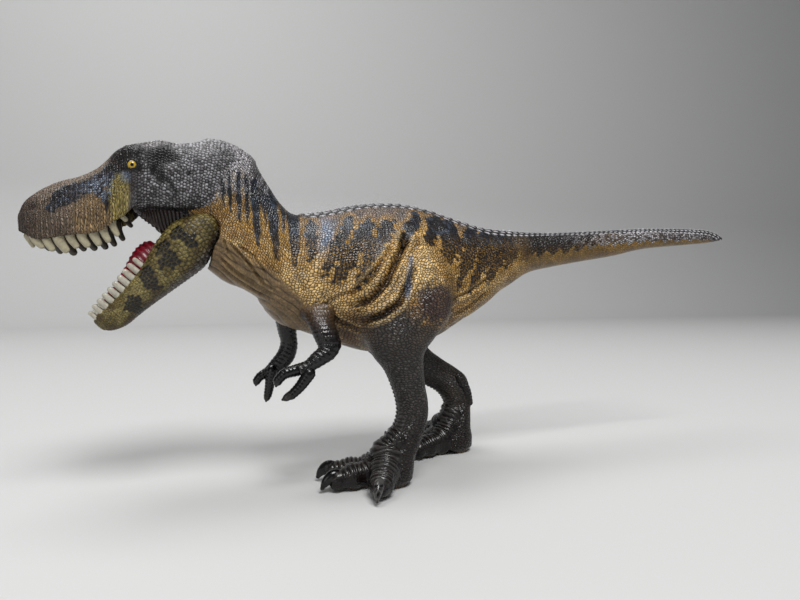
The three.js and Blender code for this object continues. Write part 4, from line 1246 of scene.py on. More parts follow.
@dataclass
class Body:
    """Torso and tail: one skin that is parted at the tail's joint."""

    step: float = 0.5
    sides: int = 320
    scale_count: int = 88
    tail_count: int = 34
    scale_height: float = 0.2
    ridge_pitch: float = 4.4
    ridge_height: float = 1.75
    ridge_start: tuple = (-52.0, -42.0)
    ridge_rows: tuple = ((1.35, 0.0, 1.0, 1.5), (4.6, 0.5, 0.5, 1.75), (7.8, 0.0, 0.26, 1.4))
    creases: tuple = (
        (((408, 230), (403, 246), (396, 262), (385, 284), (371, 299), (350, 310)), 3.3, 2.5),
        (((417, 260), (409, 284), (399, 303), (383, 315), (360, 322)), 2.9, 2.1),
        (((396, 240), (387, 256), (375, 272), (360, 288), (343, 300)), 2.4, 1.2),
        (((327, 311), (340, 322), (358, 329), (380, 334)), 1.7, 1.0),
        (((352, 290), (335, 299), (322, 306), (314, 318)), 1.9, 0.9),
        (((320, 300), (310, 312), (322, 323)), 1.8, 0.9),
        (((222, 236), (228, 252), (238, 264)), 1.0, 0.65),
        (((226, 240), (248, 262), (264, 284), (280, 294)), 1.2, 0.95),
        (((216, 254), (236, 272), (258, 286), (276, 296)), 1.2, 0.8),
        (((236, 244), (254, 256), (268, 276)), 1.0, 0.7),
        (((214, 262), (240, 281), (266, 296)), 1.0, 0.7),
        (((452, 300), (470, 292), (492, 276)), 1.5, 1.0),
        (((452, 316), (470, 306), (492, 288)), 1.4, 0.8),
        (((446, 330), (462, 318), (480, 302)), 1.2, 0.6),
    )
    neck_streaks: tuple = (
        (((222, 178), (223, 192), (224, 206)), (1.6, 1.8, 0.8)),
        (((229, 172), (230, 194), (231, 212)), (1.8, 2.2, 0.8)),
        (((238, 172), (239, 200), (240, 222)), (2.2, 2.8, 1.0)),
        (((246, 176), (247, 200), (248, 224)), (2.0, 2.4, 1.0)),
        (((254, 182), (256, 210), (257, 228), (258, 245)), (3.6, 4.4, 3.4, 1.2)),
        (((271, 200), (274, 226), (276, 244), (277, 259)), (5.4, 5.0, 3.6, 1.4)),
        (((292, 214), (294, 236), (295, 250), (295, 266)), (6.0, 5.6, 4.6, 2.0)),
        (((263, 196), (265, 212), (266, 224)), (2.0, 1.8, 0.8)),
        (((283, 208), (284, 222), (284, 234)), (2.4, 2.0, 0.8)),
    )
    flank_stripes: tuple = (
        (((312, 226), (311, 240), (311, 252), (309, 262)), (5.0, 5.0, 3.6, 1.6)),
        (((349, 222), (343, 238), (333, 256), (323, 276)), (4.6, 5.2, 5.6, 2.6)),
        (((368, 226), (358, 244), (348, 260), (336, 282)), (5.6, 7.0, 6.8, 3.4)),
        (((388, 226), (377, 246), (368, 264), (357, 290)), (6.2, 7.2, 5.6, 2.6)),
        (((416, 218), (409, 234), (398, 254), (389, 272)), (5.0, 5.2, 4.4, 2.4)),
        (((434, 222), (431, 236), (426, 252)), (5.6, 5.0, 2.2)),
        (((446, 228), (453, 242), (450, 256), (440, 274)), (6.6, 8.6, 6.6, 2.2)),
        (((470, 236), (473, 250), (466, 266), (458, 288)), (6.6, 6.8, 5.0, 2.2)),
        (((487, 236), (488, 252), (480, 270), (470, 292)), (6.2, 6.4, 4.6, 2.0)),
        (((502, 238), (501, 254), (493, 270), (486, 284)), (6.0, 5.6, 3.8, 1.6)),
        (((516, 238), (514, 252), (507, 266)), (5.6, 4.8, 2.0)),
        (((528, 238), (527, 250), (522, 260)), (5.6, 4.2, 1.6)),
    )

    def skins(self) -> tuple[Grid, int]:
        """The plain skin, and the ring at which the tail starts.

        Returns:
            The grid, and the ring's number.
        """
        hip = np.array([0.0, 0.0, HIP_HEIGHT])
        trunk = placed(TRUNK, hip, BODY_LENGTH, BODY_DEPTH, BODY_WIDTH)
        end = trunk[-1]
        root = np.array([end[0] + 0.3, 0.0, (end[1] + end[3]) / 2])
        tail = placed(TAIL, root, TAIL_LENGTH, end[1] - end[3], 2 * end[4])
        both = np.vstack([inwards(trunk[0], trunk[1], 7.0, 3.0), trunk, tail[1:]])
        grid = Loft(both, self.step, self.sides, start_cap=2.0, end_cap=1.6).grid()
        joint = int(np.argmin(np.abs(grid.points[..., 0].mean(1) - end[0])))
        return grid, joint

    def ridge_size(self, x: Array) -> Array:
        """Share of a knob's full size, which falls down the tail."""
        return 1 - 0.52 * step(x, 36.0, 84.0)

    def ridge(self, grid: Grid) -> tuple[Array, Array]:
        """Knobs in rows on each side of the back's middle line, each a rounded hump.

        Args:
            grid: the skin.

        Returns:
            Heights in millimetres, and the share of each place in its own knob.
        """
        x = grid.points[..., 0]
        start, small = step(x, *self.ridge_start), self.ridge_size(x)
        pitch = self.ridge_pitch * (1 - 0.32 * step(x[:, 0], 36.0, 80.0))
        turns = totals(np.diff(grid.along) / pitch[1:])[:, None]
        way = grid.way_from_top
        height = np.zeros(x.shape)
        knob = np.zeros(x.shape)
        for away, lean, share, wide in self.ridge_rows:
            phase = np.mod(turns + lean, 1.0)
            hump = np.clip(1 - ((phase - 0.56) / 0.46) ** 2, 0, 1) ** 0.6
            hump = hump * np.clip(1 - ((way / small - away) / wide) ** 2, 0, 1) ** 0.6
            height = np.maximum(height, share * hump)
            knob = np.maximum(knob, hump)
        return height * self.ridge_height * start * small, knob * start

    def build(self, legs: Sequence[Grid], head: Grid, dodge: Callable[[Array], Array]) -> "Body":
        """Shapes and paints the skin.

        Args:
            legs: the plain legs, into which the torso flows.
            head: the plain head, into which the neck flows.
            dodge: moves points out of the space in which the jaw turns.

        Returns:
            This body, with its grid and coat.
        """
        grid, joint = self.skins()
        for other in legs:
            grid.points = melted(grid, other, THIGH_FLOW)
        grid.points = melted(grid, head, NECK_FLOW)
        grid.points = dodge(grid.points)
        points = grid.points
        marks = VIEW.marks(points)
        x = points[..., 0]
        tail_share = step(x, 52.0, 66.0)
        big = grid.scales(self.scale_count, 11, 0.7)
        small = grid.scales(self.tail_count, 23, 0.5, 1.35)
        throat = self.throat(marks)
        smooth = np.maximum(throat, 0.75 * step(marks[..., 1] - 0.1 * marks[..., 0], 274, 286)
                            * fall(x, 10, 30))
        underside = tail_share * step(np.abs(grid.around - 0.5), 0.16, 0.2)
        amount = self.scale_height * (1 - 0.8 * smooth)
        relief = 0.4 * amount * (big.dome() - 1) * (1 - tail_share)
        relief += 0.26 * (small.dome() - 1) * underside
        relief += carved(marks, self.creases)
        relief += self.wrinkles(marks, throat)
        knobs, knob_share = self.ridge(grid)
        relief = np.where(knobs > 0.05, np.maximum(relief * 0.3, -0.1) + knobs, relief)
        grid.raise_by(relief)
        self.coat = self.paint(grid, marks, big, small, knob_share, tail_share, throat)
        self.grid, self.joint = grid, joint
        return self

    def throat(self, marks: Array) -> Array:
        """Share of the smooth throat and chest, below a line from the jaw to the arm."""
        line = np.interp(marks[..., 0], (205, 222, 245, 275, 300, 330),
                         (214, 236, 254, 272, 296, 330))
        return step(marks[..., 1] - line, -4.0, 6.0) * fall(marks[..., 0], 296, 316)

    def wrinkles(self, marks: Array, throat: Array) -> Array:
        """Long soft wrinkles down the throat, as waves across the way from jaw to chest.

        Args:
            marks: marks of the grid's points.
            throat: share of the throat.

        Returns:
            Heights in millimetres.
        """
        way = (marks[..., 1] - 0.66 * marks[..., 0]) / 1.2
        bend = 9.0 * clouds(marks, 24.0, 5) + 2.0 * clouds(marks, 7.0, 6)
        wave = bars((way + bend) * 0.5)
        return 0.5 * throat * (wave - 0.75) * (0.4 + 0.9 * clouds(marks, 11.0, 15))

    def paint(self, grid: Grid, marks: Array, big: Scales, small: Scales, knobs: Array,
              tail_share: Array, throat: Array) -> Coat:
        """Paints the skin: zones, then stripes cell by cell, then cracks and knobs, then painted
        shade in creases and wrinkles and painted highlight on the creases' banks.

        Args:
            grid: the skin.
            marks: marks of the grid's points.
            big: the body's scales.
            small: the tail's scales.
            knobs: share of each place in its knob.
            tail_share: share of the tail.
            throat: share of the throat.

        Returns:
            The coat.
        """
        x = grid.points[..., 0]
        size = np.interp(x.mean(1), (-85, -60, -40, 0, 45, 70, 130),
                         (1.0, 1.05, 1.2, 1.3, 1.15, 1.0, 0.9))
        coat = Coat.of(grid, Tint.GOLD, 0.36, 1.0, size)
        px, py = marks[..., 0], marks[..., 1]
        back = np.interp(px, (225, 247, 262, 285, 300, 345, 372, 408, 442, 475, 510, 620, 720),
                         (143, 152, 180, 212, 216, 206, 202, 203, 210, 226, 234, 231, 234))
        below = py - back
        paint_hide(coat, marks)
        band = fall(below + 5 * (clouds(marks, 5.0, 12) - 0.5), 13, 23) * step(px, 296, 316)
        coat.lay(0.85 * band, Tint.STONE, 0.42)
        coat.lay(0.6 * band * step(clouds(marks, 6.0, 14), 0.35, 0.75), Tint.DUST)
        self.nape(coat, marks, big)
        coat.lay(0.8 * spot(marks, (322, 238), (21, 20), -20, 0.6), Tint.BLUE, 0.26)
        coat.lay(0.95 * throat, Tint.TAN, 0.4)
        coat.fine *= 1 - 0.85 * throat
        self.streaks(coat, marks, big)
        self.tail_paint(coat, marks, below, small, tail_share)
        cracks = big.crack(0.11) * (1 - tail_share) * (1 - 0.85 * throat)
        dark = self.dark * (1 - tail_share)
        coat.lay(0.8 * cracks * dark * step(py, 232, 250), Tint.ORANGE, 0.42)
        coat.fine *= 1 - 0.35 * dark
        coat.lay(0.3 * step(big.luck, 0.72, 0.95) * (1 - dark) * (1 - tail_share)
                 * (1 - throat) * step(below, 16, 30), Tint.PALE_GOLD)
        row = fall(grid.way_from_top / self.ridge_size(x), 8.0, 10.0)
        row = row * step(x, *self.ridge_start)
        coat.lay(0.9 * row, Tint.SHADE, 0.45)
        coat.lay(0.9 * step(knobs, 0.5, 0.95), Tint.SILVER, 0.4)
        coat.fine *= 1 - 0.85 * row
        depth = carved(marks, self.creases)
        # Painted highlight on the raised banks beside the creases.
        coat.lay(0.3 * step(depth, 0.1, 0.6), Tint.PALE_GOLD, 0.25)
        # Painted shade in the creases' grooves.
        coat.lay(0.75 * step(-depth, 0.3, 1.9), Tint.DEEP_BROWN, 0.26)
        # Painted shade in the grooves of the throat's wrinkles.
        waves = step(-self.wrinkles(marks, throat), 0.0, 0.3)
        coat.lay(0.8 * waves, Tint.DEEP_BROWN)
        return coat

    def nape(self, coat: Coat, marks: Array, big: Scales) -> None:
        """Silver nape behind the head, with a painted sheen on its top, turning night blue towards
        the shoulders.

        Args:
            coat: the coat that is painted.
            marks: marks of the grid's points.
            big: the body's scales.
        """
        px, py = marks[..., 0], marks[..., 1]
        line = np.interp(px, (205, 240, 262, 290, 306), (196, 196, 212, 232, 240))
        nape = fall(py - line + 9 * (clouds(marks, 5.0, 21) - 0.5), -9, 9)
        nape = nape * fall(px, 298, 314)
        coat.lay(0.95 * nape, Tint.CHARCOAL, 0.36)
        # Silver on the scale tops, strongest on the top of the nape: silver paint together with a
        # painted sheen.
        coat.lay(0.7 * nape * big.dome(0.35) * spot(marks, (230, 164), (32, 36), 20, 0.9),
                 Tint.SILVER)
        night = nape * step(px + 0.3 * (py - 190) + 16 * (clouds(marks, 6.0, 22) - 0.5), 246, 262)
        coat.lay(0.82 * night, Tint.NIGHT, 0.3)
        coat.lay(0.5 * nape * step(clouds(marks * (2.0, 0.5), 5.0, 8), 0.5, 0.85)
                 * big.dome(0.35), Tint.SILVER, 0.28)

    def streaks(self, coat: Coat, marks: Array, big: Scales) -> None:
        """Dark stripes on neck and flank, whole scales at a time, with orange beside them and
        painted blue glints on some scales of their upper part.

        Args:
            coat: the coat that is painted.
            marks: marks of the grid's points.
            big: the body's scales.
        """
        middles = VIEW.marks(big.middle)
        shake = middles + 2.6 * (np.stack([big.luck, clouds(middles, 5.0, 9)], -1) - 0.5)
        rough = marks + 2.4 * (clouds(marks * (1.0, 0.4), 2.4, 13)[..., None] - 0.5)
        dark = np.zeros(marks.shape[:-1])
        for line, widths in self.neck_streaks:
            streak = stripe(rough, line, widths, 1.2)
            beside = stripe(marks, line, [w + 5.0 for w in widths], 4.0)
            coat.lay(0.55 * beside * (1 - streak) * step(marks[..., 1], 200, 220), Tint.ORANGE, 0.3)
            dark = np.maximum(dark, streak)
        for line, widths in self.flank_stripes:
            streak = step(stripe(shake, line, [1.24 * w for w in widths], 2.0), 0.4, 0.6)
            beside = stripe(marks, line, [w + 5.0 for w in widths], 4.0)
            coat.lay(0.5 * beside * (1 - streak), Tint.ORANGE, 0.34)
            dark = np.maximum(dark, streak)
        coat.lay(0.95 * dark, Tint.NIGHT, 0.3)
        # Painted glints: pale blue on some scales of the stripes' upper part.
        coat.lay(0.22 * dark * step(big.luck, 0.6, 0.95) * fall(marks[..., 1], 232, 256),
                 Tint.BLUE)
        self.dark = dark

    def tail_paint(self, coat: Coat, marks: Array, below: Array, small: Scales,
                   share: Array) -> None:
        """Tail: grey scales on top, a dark band with downward teeth, ochre below.

        Args:
            coat: the coat that is painted.
            marks: marks of the grid's points.
            below: how far each mark is below the back's line.
            small: the tail's scales.
            share: share of the tail.
        """
        px, middles = marks[..., 0], VIEW.marks(small.middle)
        mx, my = middles[..., 0], middles[..., 1]
        edge = np.interp(mx, (480, 523, 547, 583, 607, 657, 720),
                         (262, 255, 252, 247, 244, 241, 239))
        teeth = 9.0 * (1 - np.abs(np.mod((mx + 0.4 * my) / 12.0, 1.0) * 2 - 1)) - 3.0
        teeth = teeth * (1 - 0.75 * step(mx, 560, 620)) + 2.0 * (small.luck - 0.5)
        dark = fall(my - edge - teeth, -0.6, 0.6)
        fade = fall(px + 30 * (small.luck - 0.5), 585, 625)
        coat.lay(share, Tint.OCHRE, 0.38)
        coat.lay(0.3 * share * step(clouds(marks, 6.0, 33), 0.45, 0.8), Tint.BROWN)
        coat.lay(share * 0.95 * dark * fade, Tint.NIGHT, 0.26)
        coat.lay(share * 0.9 * dark * (1 - fade), Tint.STONE, 0.38)
        light = step(small.luck, 0.3, 0.7) * dark * step(px - 1.5 * (below - 8), 545, 640)
        coat.lay(share * 0.8 * light * small.dome(), Tint.SILVER)
        cracks = small.crack(0.15) * share
        coat.lay(0.85 * cracks * dark * (1 - 0.6 * fade), Tint.SHADE, 0.5)
        coat.lay(0.5 * cracks * dark * fade * step(my - edge, -9, 0), Tint.GOLD)
        coat.lay(0.4 * cracks * (1 - dark), Tint.BROWN)
        coat.lay(share * 0.85 * step(px, 706, 716), Tint.SHADE)
        coat.fine *= 1 - 0.45 * share

    def pieces(self, material: Material) -> list[Object]:
        """The torso and the tail as two closed pieces that share their joint's ring.

        Args:
            material: their material.

        Returns:
            Both objects.
        """
        grid, coat, joint = self.grid, self.coat, self.joint
        front = Shell(Grid(grid.points[:joint + 1], grid.along[:joint + 1]),
                      coat.part(slice(0, joint + 1)), sharp_end=True)
        rear = Shell(Grid(grid.points[joint:], grid.along[joint:]),
                     coat.part(slice(joint, None)), sharp_start=True)
        return [dressed("torso_skin", [front], material, "figure", "torso"),
                dressed("tail_skin", [rear], material, "figure", "tail")]


@dataclass
class Head:
    """Head with brow, sockets, nostrils and a channel that takes the upper teeth."""

    step: float = 0.34
    sides: int = 360
    scale_count: int = 92
    scale_height: float = 0.42
    lip: float = 1.5
    vault: float = 4.2
    tongue_room: float = 0.7
    night_strokes: tuple = (
        (((50, 208), (58, 199), (72, 191), (84, 188)), (4.0, 8.0, 7.0, 5.5)),
        (((62, 203), (70, 199), (78, 196)), (3.0, 4.0, 3.0)),
        (((82, 188), (96, 184), (106, 178), (114, 170), (120, 163)), (5.5, 7.0, 7.5, 6.0, 5.0)),
        (((98, 190), (104, 197), (107, 203)), (5.0, 4.5, 2.0)),
        (((110, 178), (110, 190), (109, 198)), (3.0, 2.6, 1.2)),
    )
    socket_strokes: tuple = (
        (((111, 166), (120, 155), (130, 151), (140, 151)), (4.0, 8.0, 8.0, 5.0)),
        (((114, 168), (126, 164), (138, 166)), (5.0, 7.0, 5.5)),
        (((136, 150), (139, 160), (137, 170)), (3.0, 3.0, 2.0)),
        (((151, 153), (158, 154), (167, 153), (175, 156)), (6.0, 10.0, 9.5, 5.0)),
        (((154, 160), (157, 170), (163, 180)), (8.5, 8.0, 4.5)),
        (((160, 174), (170, 182), (177, 193)), (3.0, 3.0, 1.6)),
    )
    lip_drop: tuple = ((-150.0, 0.9), (-143.4, 1.4), (-134.8, 1.5), (-130.0, 2.1), (-126.5, 2.7),
                       (-119.2, 4.2), (-113.3, 4.1), (-104.0, 0.0))

    def plain(self) -> Grid:
        """The loft of the head, boxy below so that the lips hang straight.

        Returns:
            The grid.
        """
        rows = placed(HEAD, HINGE, HEAD_LENGTH, HEAD_HEIGHT, HEAD_WIDTH)
        rows = np.vstack([inwards(rows[0], rows[1], 8.0, 3.4), rows])
        return Loft(rows, self.step, self.sides, power=2.5, low_power=3.6, end_cap=0.9,
                    start_cap=2.0).grid()

    def build(self, neck: Grid) -> "Head":
        """Shapes and paints the head; the neck's skin flows into it.

        Args:
            neck: the plain neck.

        Returns:
            This head, with its grid and coat.
        """
        grid = self.plain()
        grid.points = melted(grid, neck, NECK_FLOW)
        points = grid.points
        marks = VIEW.marks(points)
        top = points[..., 2].max(1, keepdims=True)
        low = points[..., 2].min(1, keepdims=True)
        half = np.abs(points[..., 1]).max(1, keepdims=True)
        ahead = points[..., 0].mean(1, keepdims=True)
        mouth = fall(ahead, -113.0, -107.0)
        inside = step(half - self.lip - np.abs(points[..., 1]), 0.0, 1.2)
        under = fall(points[..., 2] - low, 3.0, 6.0)
        inner = mouth * inside * under * step(top - low, 4.0, 8.0)
        lift = self.vault * inner
        tall = np.clip((top + low) / 2 - points[..., 2], 0, None) / np.maximum((top - low) / 2, 0.1)
        out = np.abs(points[..., 1]) / np.maximum(half, 0.1)
        lip_place, lip_depth = zip(*self.lip_drop)
        drop = np.interp(ahead, lip_place, lip_depth) * step(np.abs(points[..., 1]), 5.5, 8.5)
        square = (low - points[..., 2]) * step(tall, 0.45, 0.8) * step(out, 0.5, 0.75)
        lift = lift + (mouth * 0.8 * square - drop * step(tall, 0.3, 0.9)) * (1 - inner)
        skin = grid.scales(self.scale_count, 31, 0.6, 0.85)
        coarse = 0.45 + 0.55 * step(marks[..., 0], 112, 146)
        relief = self.scale_height * coarse * (skin.dome(0.42) - 1)
        relief += self.features(marks)
        grid.raise_by(relief * (1 - inner))
        grid.points[..., 2] += lift
        grid.points = cleared(grid.points, level(TONGUE, TONGUE_WIDTH), np.array([0, 0, 0.3]),
                              self.tongue_room)
        self.grid = grid
        self.coat = self.paint(grid, marks, skin, inner)
        return self

    def features(self, marks: Array) -> Array:
        """Large carving of the head: humps and hollows, each a rounded spot or line.

        Args:
            marks: marks of the grid's points.

        Returns:
            Heights in millimetres.
        """
        eye = (132.2, 164.4)
        height = 1.7 * spot(marks, (131, 152), (17, 6.0), -14, 1.0)
        height += 0.9 * spot(marks, eye, (9.5, 7.5), 6, 0.5)
        height += -0.7 * stripe(marks, ((120, 160), (128, 158.5), (138, 159.5)),
                                (0.3, 0.6, 0.3), 2.5)
        height += -2.9 * spot(marks, eye, (4.2, 3.1), 6, 0.4)
        height += -2.0 * spot(marks, (166, 157), (15, 9.5), -12, 0.9)
        height += -0.9 * spot(marks, (156, 170), (10, 5), -50, 1.0)
        height += 1.0 * spot(marks, (178, 196), (34, 13), 3, 0.9)
        height += -1.3 * spot(marks, (192, 174), (5, 4.2), 0, 0.9)
        height += -0.9 * spot(marks, (31, 208), (6.5, 3.6), -40, 0.8)
        height += -0.8 * stripe(marks, ((116, 176), (114, 196), (118, 211)), (0.4, 0.8, 0.4), 3.0)
        height += -0.5 * spot(marks, (88, 198), (24, 12), 20, 0.9)
        height += 0.7 * stripe(marks, ((128, 150), (100, 174), (66, 187), (40, 203)),
                               (2, 2, 2, 1), 5.0)
        height += -1.0 * stripe(marks, ((206, 214), (214, 216), (222, 226)), (0.6, 1.0, 0.6), 3.0)
        return height

    def paint(self, grid: Grid, marks: Array, skin: Scales, inner: Array) -> Coat:
        """Paints the head: zones, a painted sheen on its back, patches, sockets, painted shade under
        the cheek's bulge, cracks and pale scale tops.

        Args:
            grid: the skin.
            marks: marks of the grid's points.
            skin: the scales.
            inner: share of the channel inside the lips.

        Returns:
            The coat.
        """
        size = np.interp(grid.points[..., 0].mean(1), (-146, -115, -90), (0.95, 1.15, 1.3))
        coat = Coat.of(grid, Tint.STONE, 0.4, 0.15, size)
        px, middles = marks[..., 0], VIEW.marks(skin.middle)
        coat.fine[:] = 1 - 0.8 * step(px, 116, 150)
        coat.cell[..., 1] *= 1.3
        coat.lay(fall(px, 96, 128), Tint.SNOUT, 0.4)
        coat.lay(0.25 * step(clouds(marks, 7.0, 51), 0.45, 0.8), Tint.BROWN)
        coat.lay(0.85 * fall(px, 26, 44), Tint.SNOUT_TIP)
        coat.lay(0.85 * spot(marks, (93, 211), (24, 19), -24, 0.5), Tint.TAN)
        olive = spot(marks, (119, 192), (11, 20), 3, 0.3)
        coat.lay(0.9 * olive, Tint.OLIVE, 0.36)
        # Silver laid thicker over the back of the head: silver paint together with a painted sheen.
        coat.lay(0.4 * spot(marks, (212, 162), (34, 34), 0, 0.8), Tint.SILVER)
        coat.lay(0.25 * spot(marks, (168, 194), (36, 18), 0, 0.8), Tint.SILVER)
        coat.lay(0.5 * spot(marks, (158, 141), (24, 6), 0, 0.8), Tint.SNOUT)
        shake = middles + 3.0 * (np.stack([skin.luck, clouds(middles, 5.0, 19)], -1) - 0.5)
        patch = most(step(stripe(shake, line, widths, 2.0), 0.35, 0.65)
                     for line, widths in self.night_strokes)
        coat.lay(0.93 * patch, Tint.NIGHT, 0.3)
        coat.lay(0.95 * patch * skin.dome(0.3) * step(skin.luck, 0.15, 0.5)
                 * spot(marks, (99, 190), (20, 14), -20, 0.9), Tint.PEARL)
        coat.lay(0.35 * patch * skin.dome(0.3) * step(skin.luck, 0.4, 0.8), Tint.BLUE)
        socket = most(stripe(marks, line, widths, 5.0) for line, widths in self.socket_strokes)
        coat.lay(0.95 * socket, Tint.BLACK, 0.26)
        coat.lay(0.75 * spot(marks, (125, 177), (6.5, 6), 40, 0.5), Tint.BLUE)
        coat.lay(0.85 * spot(marks, (192, 174), (5, 4), 0, 0.8), Tint.BLACK)
        coat.lay(0.8 * spot(marks, (31, 205), (9, 4), -50, 0.6), Tint.SNOUT_TIP, 0.3)
        # Painted shade: a dark line along the lower edge of the cheek's bulge.
        rim = stripe(marks, ((134, 207), (160, 208), (190, 210), (212, 208)), (1.5, 3, 3, 1.5), 4.0)
        coat.lay(0.8 * rim, Tint.SHADE)
        plain = (1 - olive) * (1 - socket) * (1 - patch) * (1 - rim)
        tops = skin.dome(0.4) * step(skin.luck, 0.05, 0.9)
        coat.lay(0.95 * tops * plain * step(px, 128, 150), Tint.SILVER)
        coat.lay(0.5 * fall(skin.luck, 0.05, 0.35) * plain * step(px, 128, 150), Tint.SHADE)
        cracks = skin.crack(0.3)
        coat.lay(0.95 * cracks * (1 - olive) * step(px, 118, 140), Tint.SHADE, 0.5)
        coat.lay(0.6 * cracks * olive, Tint.PALE_OLIVE)
        coat.lay(0.45 * skin.crack(0.18) * (1 - olive) * fall(px, 118, 140), Tint.SNOUT_TIP)
        coat.lay(inner, Tint.MOUTH, 0.4)
        return coat

    def piece(self, material: Material) -> Object:
        """The head as a closed piece."""
        return dressed("head_skin", [Shell(self.grid, self.coat)], material, "figure",
                       "head_shell")


@dataclass
class Jaw:
    """Lower jaw: a trough whose side arms reach back to the hinge."""

    step: float = 0.36
    sides: int = 220
    scale_count: int = 46
    wall: float = 2.7
    gap: float = 0.6
    patches: tuple = (
        ((178, 233), (9.2, 6.325), -5), ((190, 241), (9.2, 8.05), 0),
        ((163, 247), (9.2, 6.9), -25), ((168, 260), (11.5, 9.2), 20),
        ((147, 274), (9.2, 7.475), 10), ((153, 284), (10.35, 8.05), 35),
        ((133, 303), (10.925, 8.05), -30), ((140, 310), (6.9, 5.175), 10))

    def dodge(self, points: Array) -> Array:
        """Moves points of the neck down along it until the jaw misses them."""
        way = 0.4 * np.array([0.82, 0.0, -0.57])
        return cleared(points, level(JAW, JAW_WIDTH), way, self.gap, points[..., 0] < -55)

    def build(self) -> "Jaw":
        """Shapes and paints the jaw, first level and then turned to where it hangs.

        Returns:
            The jaw itself.
        """
        grid = Loft(level(JAW, JAW_WIDTH), self.step, self.sides, power=2.6, low_power=2.4,
                    start_cap=1.0, end_cap=0.8).grid()
        flat = grid.points
        top = flat[..., 2].max(1, keepdims=True)
        low = flat[..., 2].min(1, keepdims=True)
        half = np.abs(flat[..., 1]).max(1, keepdims=True)
        share = np.mean(flat[..., 0], 1, keepdims=True) / JAW_LENGTH
        floor = np.interp(share, TROUGH_X, TROUGH_Z) * JAW_DEPTH
        floor = np.maximum(floor, low + 1.4)
        width = np.minimum(half - self.wall, 8.9)
        inside = step(width - np.abs(flat[..., 1]), -0.3, 0.9)
        upper = step(flat[..., 2] - (top + low) / 2, 0.0, 1.0)
        inner = inside * upper
        marks = VIEW.marks(jaw_frame(flat, -JAW_DROP) + HINGE)
        skin = grid.scales(self.scale_count, 41, 0.62)
        edge = self.lower_edge(marks)
        relief = (0.26 + 0.2 * edge) * (skin.dome(0.42) - 1)
        grid.raise_by(relief * (1 - inner))
        shaped = grid.points
        shaped[..., 2] = shaped[..., 2] * (1 - inner) + np.minimum(shaped[..., 2], floor) * inner
        self.grid = Grid(jaw_frame(shaped, -JAW_DROP) + HINGE, grid.along)
        self.coat = self.paint(self.grid, marks, skin, inner)
        return self

    def lower_edge(self, marks: Array) -> Array:
        """Share of the jaw's rear and lower edge, which carries bigger rounded scales."""
        return stripe(marks, ((224, 232), (217, 256), (194, 280), (162, 304), (130, 328)),
                      (5, 11, 9, 7, 4), 10.0)

    def paint(self, grid: Grid, marks: Array, skin: Scales, inner: Array) -> Coat:
        """Paints the jaw: olive, grey lower edge, pairs of dark patches, cracks, dark inside.

        Args:
            grid: the skin.
            marks: marks of the grid's points.
            skin: the scales.
            inner: share of the trough.

        Returns:
            The coat.
        """
        coat = Coat.of(grid, Tint.OLIVE, 0.34, 0.3, 1.0)
        coat.lay(0.6 * step(clouds(marks, 8.0, 6), 0.4, 0.75), Tint.PALE_OLIVE)
        coat.lay(0.6 * step(clouds(marks, 11.0, 16) + 0.3 * clouds(marks, 3.0, 17), 0.6, 1.0),
                 Tint.BROWN)
        edge = self.lower_edge(marks)
        coat.lay(0.85 * edge, Tint.STONE, 0.4)
        coat.lay(0.4 * edge * step(clouds(marks, 7.0, 18), 0.4, 0.8), Tint.BROWN)
        coat.lay(0.5 * stripe(marks, ((196, 214), (210, 226), (214, 244)), (2, 3, 3), 4.0),
                 Tint.DEEP_BROWN)
        middles = VIEW.marks(jaw_frame(skin.middle, -JAW_DROP) + HINGE)
        shake = middles + 3.5 * (np.stack([skin.luck, clouds(middles, 5.0, 29)], -1) - 0.5)
        dark = most(step(spot(shake, middle, radii, turn, 0.2), 0.4, 0.6)
                    for middle, radii, turn in self.patches)
        coat.lay(0.96 * dark, Tint.NIGHT, 0.24)
        tops = skin.dome(0.45) * step(skin.luck, 0.2, 0.9)
        coat.lay(0.35 * tops * (1 - dark) * (1 - edge), Tint.PALE_OLIVE)
        coat.lay(0.5 * tops * edge, Tint.SILVER)
        cracks = skin.crack(0.15)
        coat.lay(0.8 * cracks * (1 - dark), Tint.DEEP_BROWN, 0.5)
        coat.lay(0.5 * cracks * dark, Tint.OLIVE)
        coat.lay(inner, Tint.MOUTH, 0.4)
        return coat

    def piece(self, material: Material) -> Object:
        """The jaw as a closed piece that turns with its body."""
        return dressed("jaw_skin", [Shell(self.grid, self.coat)], material, "jaw", "lower_jaw")


